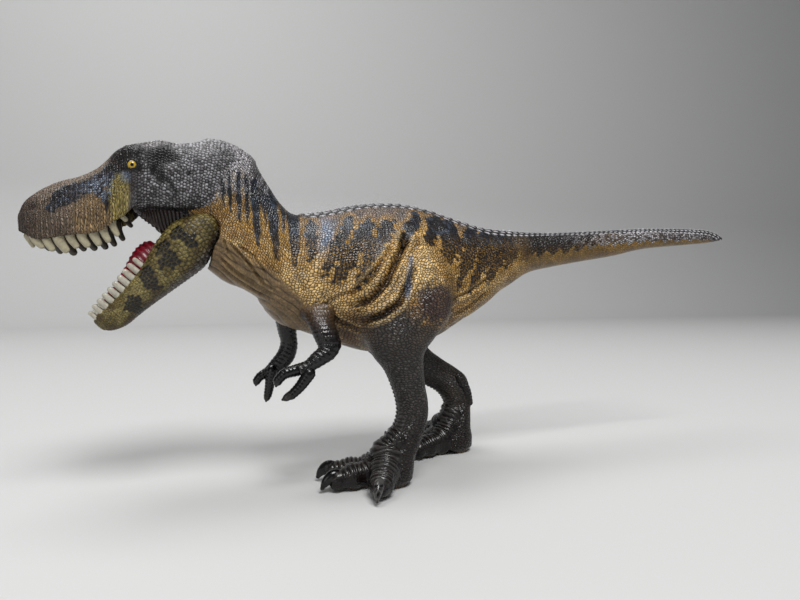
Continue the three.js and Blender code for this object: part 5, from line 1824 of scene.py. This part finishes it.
@dataclass
class Leg:
    """Leg with its foot: thigh, shin, three toes with claws and the small toe at the ankle."""

    shares: Array
    side: float
    spur_back: float
    step: float = 0.5
    sides: int = 200
    scale_count: int = 44
    scute_pitch: float = 1.8
    ankle_row: int = 10
    spur_row: int = 8
    toe_step: float = 0.34
    toe_sides: int = 96
    toe_scales: int = 26
    toe_root: float = 4.2
    claw_line: tuple = ((-2.2, 5.2), (1.6, 6.4), (4.6, 4.6), (0.9 * CLAW_LENGTH, 2.2))
    claw_radii: tuple = (2.9, 2.8, 2.1, 0.9)
    toe_line: tuple = ((0.16, 8.6, 5.5), (0.4, 6.3, 5.3), (0.62, 5.4, 5.0), (0.82, 5.0, 4.8),
                       (0.97, 4.6, 4.0))
    outer_line: tuple = ((0.1, 14.4, 6.0), (0.32, 10.2, 6.0), (0.58, 7.0, 5.5), (0.8, 5.3, 5.0),
                         (0.97, 4.6, 4.0))

    def rows(self) -> Array:
        """Rows of the leg in millimetres."""
        return placed(self.shares, np.zeros(3), HIP_HEIGHT, HIP_HEIGHT, LEG_WIDTH, HIP_SPREAD)

    def plain(self) -> Grid:
        """The loft of the leg from the hip to the sole."""
        return Loft(self.rows(), self.step, self.sides, start_cap=4.0).grid()

    def build(self, trunk: Grid, creases: tuple) -> "Leg":
        """Shapes and paints the leg, whose thigh flows into the trunk.

        Args:
            trunk: the plain trunk.
            creases: the body's creases that run on over the thigh.

        Returns:
            This leg, with its shells.
        """
        grid = self.plain()
        grid.points = melted(grid, trunk, THIGH_FLOW)
        marks = VIEW.marks(grid.points)
        skin = grid.scales(self.scale_count, 51, 0.6)
        relief = 0.12 * (skin.dome() - 1) + carved(marks, creases)
        scutes, strip = self.scutes(grid)
        z = grid.points[..., 2]
        relief = relief * (1 - 0.8 * strip) + 1.0 * (scutes - 0.45) * strip
        relief += 0.9 * step(z, 1.0, 3.0) * fall(z, 6.0, 12.0)
        grid.raise_by(relief)
        tuck = 1 - 0.1 * fall(grid.points[..., 2], 0.0, 2.6)
        middle = grid.points.mean(1, keepdims=True)
        grid.points[..., :2] = middle[..., :2] + (grid.points - middle)[..., :2] * tuck[..., None]
        grid.points[..., 2] = np.maximum(grid.points[..., 2], SOLE)
        self.shells = [Shell(grid, self.paint(grid, marks, skin, scutes, strip, creases))]
        self.foot(grid)
        self.spur()
        return self

    def scutes(self, grid: Grid) -> tuple[Array, Array]:
        """Rounded bars in two columns down the front of the ankle, and the share of that strip.

        Args:
            grid: the skin.

        Returns:
            Heights from 0 to 1, and shares.
        """
        z = grid.points[..., 2].mean(1, keepdims=True)
        fade = fall(z, 34.0, 52.0)
        turns = grid.along[:, None] / self.scute_pitch
        column = grid.way_from_top
        narrow = 1 - 0.5 * step(z, 20.0, 34.0)
        inside = fall(column / narrow, 4.4, 7.6) * step(column, 0.15, 0.9)
        return bars(np.pi * (turns + 0.25 * np.sign(0.5 - grid.around))), inside * fade

    def paint(self, grid: Grid, marks: Array, skin: Scales, scutes: Array, strip: Array,
              creases: tuple) -> Coat:
        """Paints the leg: gold thigh, brown blotch, charcoal shin, dark glossy foot, painted
        highlight and painted shade at the creases.

        Args:
            grid: the skin.
            marks: marks of the grid's points.
            skin: the scales.
            scutes: height of the ankle's bars.
            strip: share of their strip.
            creases: creases that run on over the thigh.

        Returns:
            The coat.
        """
        coat = Coat.of(grid, Tint.GOLD, 0.34, 1.0, 1.1)
        z = grid.points[..., 2]
        paint_hide(coat, marks)
        lower = fall(z, 50.0, 62.0)
        coat.lay(0.9 * lower, Tint.CHARCOAL, 0.36)
        tops = skin.dome(0.4) * step(skin.luck, 0.3, 0.9)
        coat.lay(0.3 * tops * step(z, 22, 40) * fall(z, 50, 60), Tint.ASH)
        coat.lay(0.95 * fall(z, 16.0, 40.0), Tint.FOOT, 0.24)
        coat.lay(0.35 * skin.crack(0.13), Tint.BLACK, 0.45)
        coat.lay(0.35 * strip * step(scutes, 0.6, 0.95), Tint.ASH, 0.2)
        coat.lay(0.9 * strip * fall(scutes, 0.15, 0.5), Tint.BLACK)
        coat.lay(0.6 * fall(z, 0.3, 2.4), Tint.DUST, 0.55)
        depth = carved(marks, creases)
        # Painted highlight on the raised banks beside the creases.
        coat.lay(0.3 * step(depth, 0.1, 0.6) * (1 - lower), Tint.PALE_GOLD, 0.25)
        # Painted shade in the creases' grooves.
        coat.lay(0.75 * step(-depth, 0.3, 1.9), Tint.DEEP_BROWN, 0.26)
        coat.fine *= 1 - 0.8 * strip
        return coat

    def foot(self, leg: Grid) -> None:
        """Three toes that flow out of the leg: padded, scuted on top, each with a curved claw.

        Args:
            leg: the leg's skin.
        """
        sole = self.rows()[-1]
        ball = np.array([(sole[0] + sole[2]) / 2, sole[5], 0.0])
        for n, (degrees, reach) in enumerate(TOES):
            turn = math.radians(degrees)
            way = np.array([-math.cos(turn), -self.side * math.sin(turn), 0.0])
            length = reach * FOOT_LENGTH
            outer = n == len(TOES) - 1
            ankle = self.rows()[self.ankle_row]
            start = np.array([(ankle[0] + ankle[2]) / 2,
                              ankle[5] + (1.0 * self.side if outer else 0.0),
                              (ankle[1] + ankle[3]) / 2])
            places = self.outer_line if outer else self.toe_line
            line = [start] + [ball + way * length * t + np.array([0, 0, h]) for t, h, _ in places]
            radii = [self.toe_root] + [radius for _, _, radius in places]
            grid = tube(line, radii, self.toe_step, self.toe_sides)
            grid.points = melted(grid, leg, TOE_FLOW, 3)
            self.shells.append(self.toe(grid, n))
            tip = ball + way * length
            claw = [tip + way * out + np.array([0, 0, height]) for out, height in self.claw_line]
            self.shells.append(self.claw(claw, self.claw_radii, outer))

    def toe(self, grid: Grid, number: int) -> Shell:
        """One toe, with bars on top and small scales on its sides.

        Args:
            grid: its plain skin.
            number: which toe it is, from 0.

        Returns:
            The shell.
        """
        skin = grid.scales(self.toe_scales, 61 + number, 0.5)
        top = fall(grid.from_top, 0.14, 0.2)[None]
        bar = bars(np.pi * grid.along[:, None] / 2.0)
        knuckle = 0.4 * np.cos(2 * np.pi * grid.along[:, None] / 8.4)
        grid.raise_by(0.22 * (skin.dome() - 1) * (1 - top) + 0.8 * (bar - 0.6) * top + knuckle)
        grid.points[..., 2] = np.maximum(grid.points[..., 2], SOLE)
        coat = Coat.of(grid, Tint.FOOT, 0.26)
        coat.fine[:] = 0.15
        coat.lay(0.3 * top * step(bar, 0.75, 1.0), Tint.ASH, 0.2)
        coat.lay(0.8 * np.maximum(skin.crack(0.16) * (1 - top), top * fall(bar, 0.1, 0.4)),
                 Tint.BLACK, 0.45)
        coat.lay(0.6 * fall(grid.points[..., 2], 0.3, 2.0), Tint.DUST, 0.6)
        return Shell(grid, coat)

    def claw(self, line: Sequence[Array], radii: Sequence[float], worn: bool = False) -> Shell:
        """A curved glossy claw, with pale streaks of paint worn where it is knocked, together with a
        painted highlight.

        Args:
            line: corners of its middle line.
            radii: radii at them.
            worn: whether it carries strong pale streaks of worn paint and painted highlight.

        Returns:
            The shell.
        """
        grid = tube(line, radii, 0.5, 24, flat=0.8)
        coat = Coat.of(grid, Tint.BLACK, 0.16, 0.0)
        streaks = clouds(np.stack([grid.points[..., 1] * 4, grid.points[..., 2] * 2], -1), 1.6, 77)
        # Pale streaks: worn paint together with a painted highlight, strong on the outer toe's claw.
        coat.lay((0.8 if worn else 0.12) * step(streaks, 0.35, 0.75), Tint.ASH, 0.3)
        return Shell(grid, coat)

    def spur(self) -> None:
        """The small inner toe that hangs at the back of the ankle."""
        x1, z1, x2, z2, wide, y = self.rows()[self.spur_row]
        root = np.array([(x1 + x2) / 2 + self.spur_back * (x2 - x1) / 2,
                         y - self.side * (wide - SPUR_DIAMETER / 2),
                         (z1 + z2) / 2 + self.spur_back * (z2 - z1) / 2])
        line = [root + SPUR_LENGTH * np.array([a, 0, b]) for a, b in SPUR]
        half = SPUR_DIAMETER / 2
        grid = tube(line[:3], [half * 1.7, half * 1.55, half * 1.15], 0.4, 40)
        bar = bars(np.pi * grid.along[:, None] / 1.7)
        grid.raise_by(0.25 * (bar - 0.6))
        coat = Coat.of(grid, Tint.FOOT, 0.28)
        coat.lay(0.8 * fall(bar, 0.1, 0.4), Tint.BLACK)
        self.shells.append(Shell(grid, coat))
        self.shells.append(self.claw([line[2] - np.array([0, 0, -1.0]), line[3]], [1.6, 0.5]))

    def piece(self, name: str, solid: str, material: Material) -> Object:
        """The leg as one piece."""
        return dressed(name, self.shells, material, "figure", solid)


@dataclass
class Arm:
    """Small arm with two clawed fingers and wrinkles across it."""

    shares: Array
    fingers: tuple
    step: float = 0.36
    sides: int = 110
    scale_count: int = 26
    finger_shares: tuple = (1.6, 1.45, 1.3, 1.15)

    def build(self, trunk: Grid) -> "Arm":
        """Shapes and paints the arm, which flows into the chest.

        Args:
            trunk: the plain trunk.

        Returns:
            This arm, with its shells.
        """
        shoulder = np.array([-0.325 * BODY_LENGTH, 0, HIP_HEIGHT - 0.21 * BODY_DEPTH])
        rows = placed(self.shares, shoulder, ARM_DROP, ARM_DROP, ARM_WIDTH, SHOULDER_SPREAD)
        grid = Loft(rows, self.step, self.sides, start_cap=2.0, end_cap=1.6).grid()
        grid.points = melted(grid, trunk, ARM_FLOW)
        skin = grid.scales(self.scale_count, 71, 0.55)
        bend = 0.1 * np.sin(4 * np.pi * grid.around[None])
        wrinkle = np.sin(2 * np.pi * (grid.along[:, None] / 1.9 + bend))
        relief = 0.14 * (skin.dome() - 1) + 0.09 * wrinkle
        chest = step(grid.points[..., 2], 63, 72)
        grid.raise_by(relief)
        coat = Coat.of(grid, Tint.BLACK, 0.2, 0.3)
        coat.lay(0.16 * skin.dome(0.34) * step(skin.luck, 0.3, 0.9), Tint.ASH)
        coat.lay(0.6 * fall(-wrinkle, -0.2, 0.8) * step(grid.points[..., 2], 56, 68),
                 Tint.DEEP_BROWN)
        coat.lay(0.5 * step(grid.points[..., 2], 58, 68), Tint.DEEP_BROWN, 0.36)
        coat.lay(0.85 * chest, Tint.BROWN, 0.44)
        coat.lay(0.7 * step(grid.points[..., 2], 70, 77), Tint.GOLD)
        coat.lay(0.6 * skin.crack(0.15), Tint.SHADE, 0.4)
        self.shells = [Shell(grid, coat)]
        x1, z1, x2, z2, _, y = rows[-1]
        wrist = np.array([(x1 + x2) / 2, y, (z1 + z2) / 2])
        for n, line in enumerate(self.fingers):
            corners = [wrist + np.array([a * FINGER_LENGTH, (0.5 - n) * FINGER_DIAMETER,
                                         b * FINGER_LENGTH]) for a, b in line]
            half = FINGER_DIAMETER / 2
            finger = tube(corners[:4], [half * k for k in self.finger_shares], 0.35, 36)
            finger.raise_by(0.08 * np.sin(2 * np.pi * finger.along[:, None] / 1.4))
            self.shells.append(Shell(finger, Coat.of(finger, Tint.BLACK, 0.2, 0.2)))
            claw = tube([corners[3] * 0.7 + corners[2] * 0.3, corners[3] * 0.4 + corners[4] * 0.6,
                         corners[4]], [half * 1.1, half * 0.9, 0.5], 0.35, 20)
            self.shells.append(Shell(claw, Coat.of(claw, Tint.CHARCOAL, 0.2, 0.0)))
        return self

    def piece(self, name: str, solid: str, material: Material) -> Object:
        """The arm as one piece."""
        return dressed(name, self.shells, material, "figure", solid)


@dataclass
class Mouth:
    """What the open mouth shows: ribbed web, tongue, and both rows of teeth."""

    upper: tuple = (
        (36, 238, 41.5, 245.5, 3.9), (47, 237, 52, 248.5, 3.7), (58.5, 236, 65.5, 249.5, 4.4),
        (70.5, 235, 76, 245.5, 3.6), (82, 233.5, 87, 244.5, 3.9), (93.5, 230, 98.5, 243, 3.9),
        (103.5, 226, 108, 240, 3.5), (113, 221, 117, 234, 3.2), (122, 214, 125.5, 219.5, 2.8))
    web_rows: tuple = (
        (-23.2, 13.0, -22.6, 6.6, 7.2, 0), (-20.0, 13.0, -18.2, 2.4, 7.6, 0),
        (-14.5, 13.0, -12.0, -2.7, 7.6, 0), (-8.0, 13.0, -5.5, -4.9, 7.6, 0),
        (-1.0, 13.0, -0.5, -5.9, 7.6, 0), (5.5, 13.0, 5.5, -3.4, 7.6, 0))
    lower_start: float = -0.475
    lower_reach: float = 0.495
    lower_sizes: tuple = (0.72, 0.88, 0.96, 1.0, 1.0, 1.0, 0.98, 0.94, 0.88, 0.76)
    tongue_room: float = 1.6

    def web(self) -> Grid:
        """Throat between the jaw's arms, drawn out forwards as a ribbed web.

        Returns:
            The grid.
        """
        rows = np.array(self.web_rows, float)
        rows[:, [0, 2]] += HINGE[0]
        rows[:, [1, 3]] += HINGE[2]
        grid = Loft(rows, 0.3, 160, power=5.0, start_cap=0.8, end_cap=0.6).grid()
        places = np.broadcast_arrays(grid.along[:, None], 60 * grid.around[None])
        drift = clouds(np.stack(places, -1), 6.0, 93)
        rib = np.sin(2 * np.pi * grid.along[:, None] / 1.5 + 7.0 * drift)
        grid.raise_by(0.22 * rib)
        grid.points = cleared(grid.points, level(TONGUE, TONGUE_WIDTH),
                              np.array([0.3, 0, 0.3]), self.tongue_room)
        self.rib = rib
        return grid

    def membrane(self, material: Material) -> Object:
        """The web and the roof of the mouth as one piece.

        Args:
            material: its material.

        Returns:
            The object.
        """
        grid = self.web()
        coat = Coat.of(grid, Tint.MOUTH, 0.34, 0.3)
        coat.lay(0.3 * step(self.rib, 0.2, 1.0) * np.ones(grid.points.shape[:2]), Tint.BROWN)
        rows = placed(HEAD[6:-1], HINGE, HEAD_LENGTH, HEAD_HEIGHT, HEAD_WIDTH)
        rows[:, 1] = rows[:, 3] + 6.0
        rows[:, 3] = rows[:, 3] + 3.6
        rows[:, 0] = rows[:, 2]
        rows[:, 4] = np.maximum(rows[:, 4] - 3.2, 1.2)
        roof = Loft(rows, 0.7, 60, power=4.0, start_cap=1.0, end_cap=1.0).grid()
        roof.raise_by(0.25 * np.sin(2 * np.pi * roof.along[:, None] / 3.0))
        shells = [Shell(grid, coat), Shell(roof, Coat.of(roof, Tint.MOUTH, 0.4))]
        return dressed("mouth_membrane", shells, material, "figure", "mouth_lining")

    def tongue(self, material: Material) -> Object:
        """Humped tongue with ridges across it and a groove along it, painted highlight on the ridges
        and painted shade in the groove.

        Args:
            material: its material.

        Returns:
            The object.
        """
        grid = Loft(level(TONGUE, TONGUE_WIDTH), 0.36, 110, start_cap=1.5, end_cap=1.2).grid()
        ridge = np.sin(2 * np.pi * grid.along[:, None] / 2.1)
        top = fall(grid.from_top, 0.22, 0.3)[None]
        groove = np.exp(-((grid.points[..., 1] / 0.8) ** 2)) * top
        grid.raise_by(0.22 * ridge * top - 0.5 * groove)
        grid.points = jaw_frame(grid.points, -JAW_DROP) + HINGE
        coat = Coat.of(grid, Tint.RED, 0.26, 0.2)
        # Painted highlight: pink on the crests of the ridges.
        coat.lay(0.4 * step(ridge, 0.3, 1.0) * top, Tint.PINK)
        # Painted shade: dark brown in the groove.
        coat.lay(0.4 * groove, Tint.DEEP_BROWN)
        return dressed("tongue_skin", [Shell(grid, coat)], material, "jaw", "tongue")

    def tooth(self, base: Array, tip: Array, width: float, thick: float, curl: Array,
              blunt: float, tint: Tint, seed: int) -> Shell:
        """A tooth: an oval tube from root to tip, bent by curl, with a blunt or pointed end.

        Args:
            base: middle of its root.
            tip: middle of its end.
            width: width at the root.
            thick: share of the width that it is thick.
            curl: shift of its middle.
            blunt: width of its end as a share.
            tint: its paint.
            seed: picks its stains.

        Returns:
            The shell.
        """
        middle = (base + tip) / 2 + curl
        grid = tube([base, middle, tip], [width / 2, width / 2 * (0.55 + 0.45 * blunt),
                                          width / 2 * blunt], 0.55, 12)
        centre = grid.points.mean(1, keepdims=True)
        grid.points[..., 1] = centre[..., 1] + (grid.points[..., 1] - centre[..., 1]) * thick
        coat = Coat.of(grid, tint, 0.34, 0.0)
        share = np.linspace(0, 1, len(grid.points))[:, None]
        spots = clouds(grid.points[..., (0, 2)] * 3.0 + seed, 1.7, seed)
        coat.lay(0.45 * step(spots, 0.45, 0.9) * (1 - 0.5 * share), Tint.STAIN)
        coat.lay(0.6 * fall(share, 0.0, 0.35), Tint.STAIN)
        return Shell(grid, coat)

    def upper_row(self, material: Material) -> Object:
        """Cream upper teeth at their places along both lips.

        Args:
            material: its material.

        Returns:
            The object.
        """
        rows = placed(HEAD, HINGE, HEAD_LENGTH, HEAD_HEIGHT, HEAD_WIDTH)
        order = np.argsort(rows[:, 2])
        shells = []
        for n, (x0, y0, x1, y1, width) in enumerate(self.upper):
            rough = VIEW.place(x0, y0, -12.0)
            half = max(0.8 * np.interp(rough[0], rows[order, 2], rows[order, 4]) - 0.9, 2.2)
            base, tip = VIEW.place(x0 - 2.0, y0 - 4, -half), VIEW.place(x1, y1, -half + 0.1)
            for side in (-1, 1):
                mirror = np.array([1, -side, 1])
                curl = np.array([-0.35, 0, -0.2])
                shells.append(self.tooth(base * mirror, tip * mirror, width, 0.62, curl, 0.64,
                                         Tint.CREAM, 5 * n + side))
                # Inner faces painted dark: painted shade of the far row together with the teeth's
                # dark unpainted backs.
                inwards_of = (shells[-1].grid.points[..., 1] - base[1] * mirror[1]) * side
                shells[-1].coat.lay(0.9 * step(-inwards_of, -0.3, 0.5), Tint.MOUTH)
        for n, y in enumerate((-2.6, 2.6)):
            base, tip = VIEW.place(28, 236, y), VIEW.place(33, 246, y)
            shells.append(self.tooth(base, tip, 2.8, 0.8, np.zeros(3), 0.5, Tint.CREAM, 90 + n))
        return dressed("upper_tooth_row", shells, material, "figure", "upper_teeth")

    def lower_row(self, material: Material) -> Object:
        """Blocky pale lower teeth along the jaw's rim.

        Args:
            material: its material.

        Returns:
            The object.
        """
        rows = spread(level(JAW, JAW_WIDTH), np.linspace(0, len(JAW) - 1, 300))
        order = np.argsort(rows[:, 0])
        shells = []
        for n, size in enumerate(self.lower_sizes):
            x = JAW_LENGTH * (self.lower_start - self.lower_reach * n / (len(self.lower_sizes) - 1))
            half, top = (np.interp(x, rows[order, 0], rows[order, k]) for k in (4, 1))
            y = max(0.8 * half - 1.2, 1.5)
            for side in (-1, 1):
                base = np.array([x, side * y, top - 1.8])
                tip = np.array([x - 0.3, side * (y + 0.1), top + 2.0 * size])
                turned = [jaw_frame(p, -JAW_DROP) + HINGE for p in (base, tip)]
                shells.append(self.tooth(*turned, 2.75 * size, 0.85, np.zeros(3), 0.86,
                                         Tint.BONE, 200 + 3 * n + side))
        return dressed("lower_tooth_row", shells, material, "jaw", "lower_teeth")


@dataclass
class Eye:
    """Glossy eyeball: yellow iris, black pupil and a dark rim."""

    side: float
    rings: int = 48
    sides: int = 64

    def piece(self, name: str, solid: str, material: Material) -> Object:
        """The eyeball: a ball in polar angles, whose rings run round the way that it looks.

        Args:
            name: the piece's name.
            solid: the solid whose place it takes.
            material: its material.

        Returns:
            The object.
        """
        low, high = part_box(solid)
        centre = np.array([(low[k] + high[k]) * 500 for k in range(3)]) - SHIFT
        centre = centre - np.array([0.0, 0.5 * self.side, 0.35])
        turn = np.linspace(0.02, np.pi - 0.02, self.rings)[:, None]
        angle = np.linspace(0, 2 * np.pi, self.sides + 1)[None, :-1]
        turn, angle = np.broadcast_arrays(turn, angle)
        points = np.stack([np.sin(turn) * np.cos(angle), self.side * np.cos(turn),
                           np.sin(turn) * np.sin(angle)], -1) * (EYE_DIAMETER / 2) + centre
        grid = Grid(points, np.arange(self.rings) * 0.1)
        coat = Coat.of(grid, Tint.BLACK, 0.12)
        away = np.degrees(turn)
        fibres = clouds(np.stack([np.degrees(angle), away * 0.2], -1), 9.0, 3)
        iris = fall(away, 36, 44)
        coat.fine[:] = 0.0
        coat.lay(iris, Tint.YELLOW, 0.1)
        coat.lay(0.2 * iris * fibres, Tint.ORANGE)
        coat.lay(fall(away, 13, 18), Tint.BLACK)
        return dressed(name, [Shell(grid, coat)], material, "figure", solid)


@dataclass
class Studio:
    """Pale floor with a curved backdrop, soft lamps and the camera."""

    floor_tint: tuple = (0.47, 0.47, 0.465)
    lens: float = 26.1
    lamps: tuple = (("lamp_key", (0.0, -1.15, 1.9), 0.9, 50.0),
                    ("lamp_top", (-0.55, 0.3, 2.1), 1.0, 26.0),
                    ("lamp_fill", (-0.9, -0.8, 0.35), 0.6, 1.8))

    def floor(self) -> None:
        """A floor that curves up into a backdrop far behind the figure."""
        turn = np.linspace(0, np.pi / 2, 24)
        y = np.concatenate([[-3.0], 1.2 + 0.4 * np.sin(turn), [1.6]])
        z = np.concatenate([[0.0], 0.4 - 0.4 * np.cos(turn), [3.0]])
        x = np.array([-3.5, 3.5])
        corners = [(a, b, c) for b, c in zip(y, z) for a in x]
        faces = [(2 * i, 2 * i + 1, 2 * i + 3, 2 * i + 2) for i in range(len(y) - 1)]
        mesh = bpy.data.meshes.new("studio_floor")
        mesh.from_pydata(corners, [], faces)
        mesh.polygons.foreach_set("use_smooth", np.ones(len(mesh.polygons), bool))
        material = bpy.data.materials.new("studio_paper")
        material.use_nodes = True
        fill(material.node_tree, material.node_tree.nodes["Principled BSDF"],
             {"Base Color": (*self.floor_tint, 1), "Roughness": 0.6})
        mesh.materials.append(material)
        added("studio_floor", mesh)

    def lamp(self, name: str, place: tuple, size: float, power: float) -> None:
        """A square soft lamp that faces the figure.

        Args:
            name: the lamp's name.
            place: where it stands, in metres.
            size: its side in metres.
            power: its power in watts.
        """
        data = bpy.data.lights.new(name, "AREA")
        data.shape, data.size, data.energy = "SQUARE", size, power
        made = added(name, data)
        made.location = place
        aim = np.array([-0.02, 0.0, 0.08]) - np.array(place)
        made.rotation_mode = "QUATERNION"
        made.rotation_quaternion = Vector(aim).to_track_quat("-Z", "Y")

    def build(self) -> None:
        """Sets floor, lamps, world and camera."""
        self.floor()
        for name, place, size, power in self.lamps:
            self.lamp(name, place, size, power)
        world = bpy.data.worlds.new("studio_world")
        bpy.context.scene.world = world
        world.use_nodes = True
        fill(world.node_tree, world.node_tree.nodes["Background"],
             {"Color": (0.95, 0.97, 1.0, 1), "Strength": 0.2})
        data = bpy.data.cameras.new("camera")
        data.lens, data.sensor_width, data.shift_y = self.lens, 36.0, -0.01
        data.clip_start = 0.01
        camera = added("camera", data)
        spot_at = np.array([-VIEW.distance * math.sin(VIEW.turn),
                            -VIEW.distance * math.cos(VIEW.turn), VIEW.height]) + SHIFT
        camera.location = tuple(spot_at / 1000)
        camera.rotation_euler = (math.pi / 2, 0.0, -VIEW.turn)
        bpy.context.scene.camera = camera
        bpy.context.scene.view_settings.view_transform = "Standard"


def main() -> None:
    """Builds every piece in order and reports it."""
    logging.basicConfig(level=logging.INFO, format="%(name)s: %(message)s")
    skin = Vinyl("painted_vinyl").material()
    hide = Vinyl("leg_hide", stretch=(1.0, 0.6, 1.0), chaos=0.8, depth=0.0002).material()
    glossy = Vinyl("glossy_vinyl", coat=0.22, coat_rough=0.18, depth=0.0001).material()
    enamel = Vinyl("tooth_enamel", mottle=0.08, coat=0.35, coat_rough=0.2).material()
    body, head, jaw = Body(), Head(), Jaw()
    left = Leg(LEFT_LEG, -1.0, 0.0)
    right = Leg(RIGHT_LEG, 1.0, 0.7)
    trunk, _ = body.skins()
    stop = int(len(trunk.points) * FRONT_SHARE)
    front = Grid(trunk.points[:stop], trunk.along[:stop])
    body.build([left.plain(), right.plain()], head.plain(), jaw.dodge)
    made = body.pieces(skin)
    made.append(head.build(front).piece(skin))
    made.append(jaw.build().piece(skin))
    made.append(left.build(front, body.creases[:3]).piece("left_leg_skin", "left_leg", hide))
    made.append(right.build(front, body.creases[:3]).piece("right_leg_skin", "right_leg", hide))
    left_arm = Arm(LEFT_ARM, LEFT_FINGERS).build(front)
    right_arm = Arm(RIGHT_ARM, RIGHT_FINGERS).build(front)
    made.append(left_arm.piece("left_arm_skin", "left_arm", glossy))
    made.append(right_arm.piece("right_arm_skin", "right_arm", glossy))
    mouth = Mouth()
    made.append(mouth.membrane(glossy))
    made.append(mouth.tongue(glossy))
    made.append(mouth.upper_row(enamel))
    made.append(mouth.lower_row(enamel))
    made.append(Eye(-1.0).piece("left_eyeball", "left_eye", glossy))
    made.append(Eye(1.0).piece("right_eyeball", "right_eye", glossy))
    pin = frame["nodes"]["jaw_pin"]
    pin.data.materials.clear()
    pin.data.materials.append(Steel().material())
    for each in made:
        LOG.info("%s: %d faces", each.name, len(each.data.polygons))
    Studio().build()


if __name__ == "__main__":
    main()
